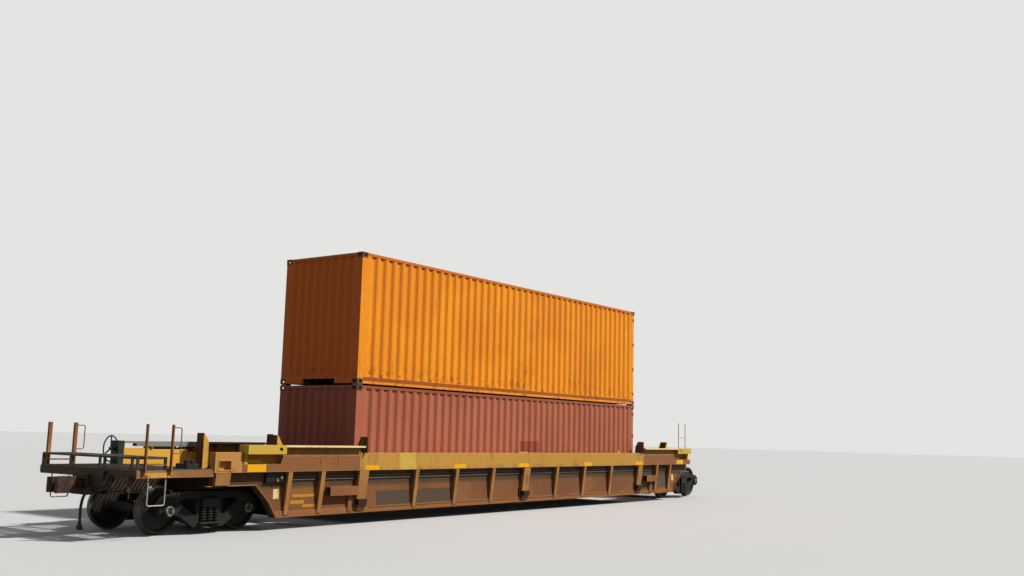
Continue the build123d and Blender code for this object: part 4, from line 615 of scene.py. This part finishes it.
# Air hose: reinforced rubber brake hose, 50 mm across with its fittings' collars, that hangs from the
# end cock beside the coupler to the cast coupling head on its end.
hose_route = ((-11.18045, -0.33, 0.7954), (-11.24545, -0.33, 0.7254), (-11.28045, -0.33, 0.5854),
              (-11.29045, -0.33, 0.4254), (-11.28045, -0.33, 0.2754))
hose_diameter = 0.05
hose_rubber = Finish("hose_rubber", srgb(27, 27, 28), 0.55)
hose_rubber.blotches(0.05, 0.45, 0.65, srgb(56, 52, 46), 0.6, 6)
hose_rubber.relief(hose_rubber.noise(0.004, 2, stretch=(1, 1, 0.3)), 0.0006)
hose = round_bar("brake_hose", hose_diameter / 2, 6)
spline = hose.data.splines.new("NURBS")
spline.points.add(len(hose_route) - 1)
for point, place in zip(spline.points, hose_route):
    point.co = (*place, 1)
spline.order_u = 3
spline.use_endpoint_u = True
spline.resolution_u = 12
hose.data.materials.append(hose_rubber.done("air_hose"))
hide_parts("air_hose")
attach(hose, "root")

# Hand brake: a housing of pressed steel bolted on the platform, in dull green, with a cast iron wheel
# on its shaft, as dark as the truck's castings.
housing = Finish("brake_housing_paint", srgb(36, 46, 42), 0.6)
housing.blotches(0.15, 0.45, 0.62, srgb(60, 62, 54), 0.7, 6)
housing.blotches(0.03, 0.57, 0.66, srgb(84, 58, 40), 0.7, 9, 0.7, shift=2)
housing.relief(housing.noise(0.02, 5), 0.0006)
housing.done("hand_brake_housing")
bolster_casting.done("hand_brake_wheel")

# Marker rods at the articulated end: thin steel bars that stand up from the walkways' end plates, in
# faded paint.
marker = Finish("marker_paint", srgb(196, 166, 116), 0.55)
marker.blotches(0.1, 0.48, 0.62, srgb(150, 110, 70), 0.7, 6)
marker.relief(marker.noise(0.01, 3), 0.0003)
marker.done("marker_rods")

# Lower container, 8 ft 6 in high: corrugated sides and doors welded in a frame with cast corners.
# Its brown-red paint is faded and dusty, with a darker square where something was painted over. The
# corner castings are bare, and rust runs down from the seams.
casting_y = 1.219
casting_depth = (0.166, 0.160)
casting_height = (0.120, 0.116)
corner_x = 6.096 - 0.178
rail_y = 1.213
bottom_rail_z = (0.070, 0.156)
top_rail_from = (0.075, 0.055)
chipped_z = (0.60, 0.10)


def container_paint(name, base, shade_and_fade, scratch_and_shadow, stand_z, height):
    """Container paint before its own marks: faded blotches, painted shade on the faces turned toward -X,
    streaks, rust, a painted shadow along the bottom side rail, up-facing faces darker with dust and painted
    shade, bare castings at the corners.
    """
    paint = Finish(name, base, 0.5)
    x, z, out = paint.off("X", well_x), paint.axis("Z", rail_z + stand_z), paint.off("Y")
    paint.blotches(1.1, 0.4, 0.62, shade_and_fade, 0.3, 4)
    # Painted shade: the faces turned toward -X, the front walls, take the darker colour all over.
    paint.lay(paint.band(paint.facing("X"), -0.5, -0.9), shade_and_fade)
    paint.blotches(0.02, 0.60, 0.68, scratch_and_shadow, 0.6, 8, 0.7, (1, 1, 12), 3)
    runs = paint.band(paint.noise(0.05, 8, 0.66, (1, 1, 14), 5), 0.56, 0.70)
    paint.lay(paint.both(runs, paint.band(z, height * 0.7, height * 0.1)), scratch_and_shadow, 0.35)
    chips = paint.band(paint.noise(0.06, 9, 0.7, shift=8), 0.52, 0.62)
    paint.lay(paint.both(paint.band(z, *chipped_z), chips), scratch_and_shadow, 0.75)
    # A painted shadow: a dark band along the bottom side rail's face, where its lip would shade it.
    rail_face = paint.both(paint.band(out, rail_y - 0.0015, rail_y - 0.0005),
                           paint.band(x, corner_x, corner_x - 0.004))
    paint.lay(paint.both(rail_face, paint.within(z, *bottom_rail_z, 0.004)), scratch_and_shadow, 0.85)
    paint.lay(paint.band(z, *(height - down for down in top_rail_from)), shade_and_fade, 0.9)
    paint.lay(paint.both(paint.edges(0.012), paint.band(paint.noise(0.12, 6), 0.5, 0.58)), scratch_and_shadow, 0.6)
    # Up-facing faces, the roofs most, darker: dust, and painted shade that holds down their sunlit tops.
    paint.lay(paint.band(paint.facing("Z"), 0.6, 0.95), srgb(122, 98, 74), 0.55)
    ends = paint.math("MAXIMUM", paint.band(z, *casting_height),
                      paint.band(z, *(height - down for down in casting_height)))
    castings = paint.both(ends, paint.band(x, corner_x, corner_x + 0.004),
                          paint.band(out, *(casting_y - inward for inward in casting_depth)))
    paint.lay(castings, srgb(74, 47, 30), 0.9)
    paint.lay(paint.both(castings, paint.band(paint.noise(0.04, 7), 0.5, 0.62)), srgb(46, 32, 24), 0.7)
    paint.relief(paint.noise(0.35, 3), 0.004)
    paint.relief(paint.noise(0.02, 8, 0.7, (1, 1, 12), 3), 0.0004)
    return paint


lower_stand = 0.320
lower_height = 2.591
shell = ("frame", "walls", "roof", "door_near", "door_far")
near_side = (-1, -1.1)
painted_over = (0.08, 0.96, 1.16, 1.45)
lower_paint = container_paint("lower_paint", srgb(171, 98, 71), srgb(140, 74, 54), srgb(92, 48, 34),
                              lower_stand, lower_height)
x0, x1, z0, z1 = painted_over
square = lower_paint.both(lower_paint.within(lower_paint.axis("X", well_x), x0, x1),
                          lower_paint.within(lower_paint.axis("Z", rail_z + lower_stand), z0, z1),
                          lower_paint.band(lower_paint.axis("Y"), *near_side))
lower_paint.lay(square, srgb(132, 54, 46), 0.75)
lower_paint.done(*(f"lower_{part}" for part in shell))

# Container floors: hardwood plywood boards screwed down on the cross members, worn along their grain.
# Both containers have the same.
floor_wood = Finish("floor_boards", srgb(96, 70, 48), 0.7)
floor_wood.blotches(0.03, 0.4, 0.62, srgb(70, 50, 36), 0.7, 8, 0.6, (30, 1, 1))
floor_wood.relief(floor_wood.noise(0.02, 6, 0.6, (30, 1, 1)), 0.0008)
floor_wood.done("lower_floor", "upper_floor")

# Locks between the containers: small castings, galvanised, with a head in the casting below and one in
# the casting above.
lock_zinc = Finish("lock_zinc", srgb(120, 118, 112), 0.5, 0.6)
lock_zinc.blotches(0.03, 0.5, 0.64, srgb(110, 80, 56), 0.6, 6)
lock_zinc.relief(lock_zinc.noise(0.008, 3), 0.0004)
lock_zinc.done("corner_locks")

# Upper container, 9 ft 6 in high: the same build in orange paint, scraped through to rust in a few
# places on the side that is in view.
upper_stand = 2.934
upper_height = 2.896
upper_paint = container_paint("upper_paint", srgb(236, 146, 24), srgb(196, 98, 28), srgb(128, 62, 24),
                              upper_stand, upper_height)
x, z = upper_paint.axis("X", well_x), upper_paint.axis("Z", rail_z)
near = upper_paint.band(upper_paint.axis("Y"), *near_side)
scrapes = ((-1.36, -1.14, 4.85, 5.50), (-0.50, 0.60, 3.05, 3.78), (2.40, 3.28, 3.10, 3.56))
scrape_edge = 0.08
for x0, x1, z0, z1 in scrapes:
    rubbed = upper_paint.band(upper_paint.noise(0.04, 8, 0.7, (1, 1, 3), 9), 0.50, 0.62)
    scrape = upper_paint.both(near, upper_paint.within(x, x0, x1, scrape_edge),
                              upper_paint.within(z, z0, z1, scrape_edge), rubbed)
    upper_paint.lay(scrape, srgb(160, 84, 36), 0.6)
upper_paint.done(*(f"upper_{part}" for part in shell), "corner_castings_top")

# Sticker near the door end of the upper container, one on each side: a blank yellow film stuck on a
# flat of the wall.
sticker_paint = Finish("sticker_paint", srgb(226, 196, 44), 0.4)
sticker_paint.blotches(0.05, 0.52, 0.64, srgb(196, 160, 50), 0.6, 6)
sticker_paint.relief(sticker_paint.noise(0.01, 3), 0.0002)
wall_outer_y = 1.209
sticker = ((5.530, 5.592), (wall_outer_y - 0.002, wall_outer_y + 0.0008), (4.960, 5.150))
boxes_piece("stickers", both_sides([sticker]), sticker_paint.done(), edge=0.0003)

# Floor, light and camera: a plain pale floor, one sun lamp with a low fill all round, and the camera
# where the photograph's stood. The floor is seen pale, and gives back little light to the underside.


def seen_itself(tree):
    """1 for the rays that show a thing itself: the camera's, and what metal and glass show of it."""
    rays = tree.nodes.new("ShaderNodeLightPath")
    seen = rays.outputs["Is Camera Ray"]
    for kind in ("Is Glossy Ray", "Is Transmission Ray"):
        either = tree.nodes.new("ShaderNodeMath")
        either.operation = "MAXIMUM"
        tree.links.new(seen, either.inputs[0])
        tree.links.new(rays.outputs[kind], either.inputs[1])
        seen = either.outputs[0]
    return seen


floor_size = 400
floor_finish = Finish("studio_floor", srgb(84, 83, 81), 0.9)
floor_finish.lay(seen_itself(floor_finish.tree), srgb(182, 184, 186))
bpy.ops.mesh.primitive_plane_add(size=floor_size, location=(0, 0, 0))
floor = bpy.context.object
floor.name = "studio_floor"
floor.data.materials.append(floor_finish.done())

sun_from = Vector((1.15, -1.30, 1.75))
sun_strength = 5.1
sun_width = math.radians(3)
sun_colour = (1.0, 0.96, 0.90)
fill_strength = 0.26
fill_colour = (0.95, 0.97, 1.0, 1)
sun = bpy.data.lights.new("key_light", "SUN")
sun.energy = sun_strength
sun.angle = sun_width
sun.color = sun_colour
sun_lamp = bpy.data.objects.new("key_light", sun)
sun_lamp.rotation_euler = sun_from.to_track_quat("Z", "Y").to_euler()
scene.collection.objects.link(sun_lamp)

world = bpy.data.worlds.new("studio")
scene.world = world
world.use_nodes = True
sky = world.node_tree
background = sky.nodes["Background"]
background.inputs["Color"].default_value = fill_colour
background.inputs["Strength"].default_value = fill_strength
backdrop = sky.nodes.new("ShaderNodeBackground")
backdrop.inputs["Color"].default_value = srgb(228, 228, 226)
choose = sky.nodes.new("ShaderNodeMixShader")
sky.links.new(seen_itself(sky), choose.inputs["Fac"])
sky.links.new(background.outputs[0], choose.inputs[1])
sky.links.new(backdrop.outputs[0], choose.inputs[2])
sky.links.new(choose.outputs[0], sky.nodes["World Output"].inputs["Surface"])
scene.view_settings.view_transform = "Standard"

camera_place = Vector((-21.665, -16.974, 1.947))
camera_yaw = math.radians(54.007)
camera_pitch = math.radians(8.115)
camera_roll = math.radians(1.423)
focal_pixels = 1028.73
image_width = 1024
flat = math.cos(camera_pitch)
ahead = Vector((math.sin(camera_yaw) * flat, math.cos(camera_yaw) * flat, math.sin(camera_pitch)))
level = Vector((math.cos(camera_yaw), -math.sin(camera_yaw), 0))
upright = level.cross(ahead)
right = math.cos(camera_roll) * level + math.sin(camera_roll) * upright
top = math.cos(camera_roll) * upright - math.sin(camera_roll) * level
lens = bpy.data.cameras.new("camera")
lens.sensor_width = 36
lens.lens = focal_pixels * lens.sensor_width / image_width
lens.clip_end = 500
camera = bpy.data.objects.new("camera", lens)
camera.matrix_world = Matrix.Translation(camera_place) @ Matrix((right, top, -ahead)).transposed().to_4x4()
scene.collection.objects.link(camera)
scene.camera = camera
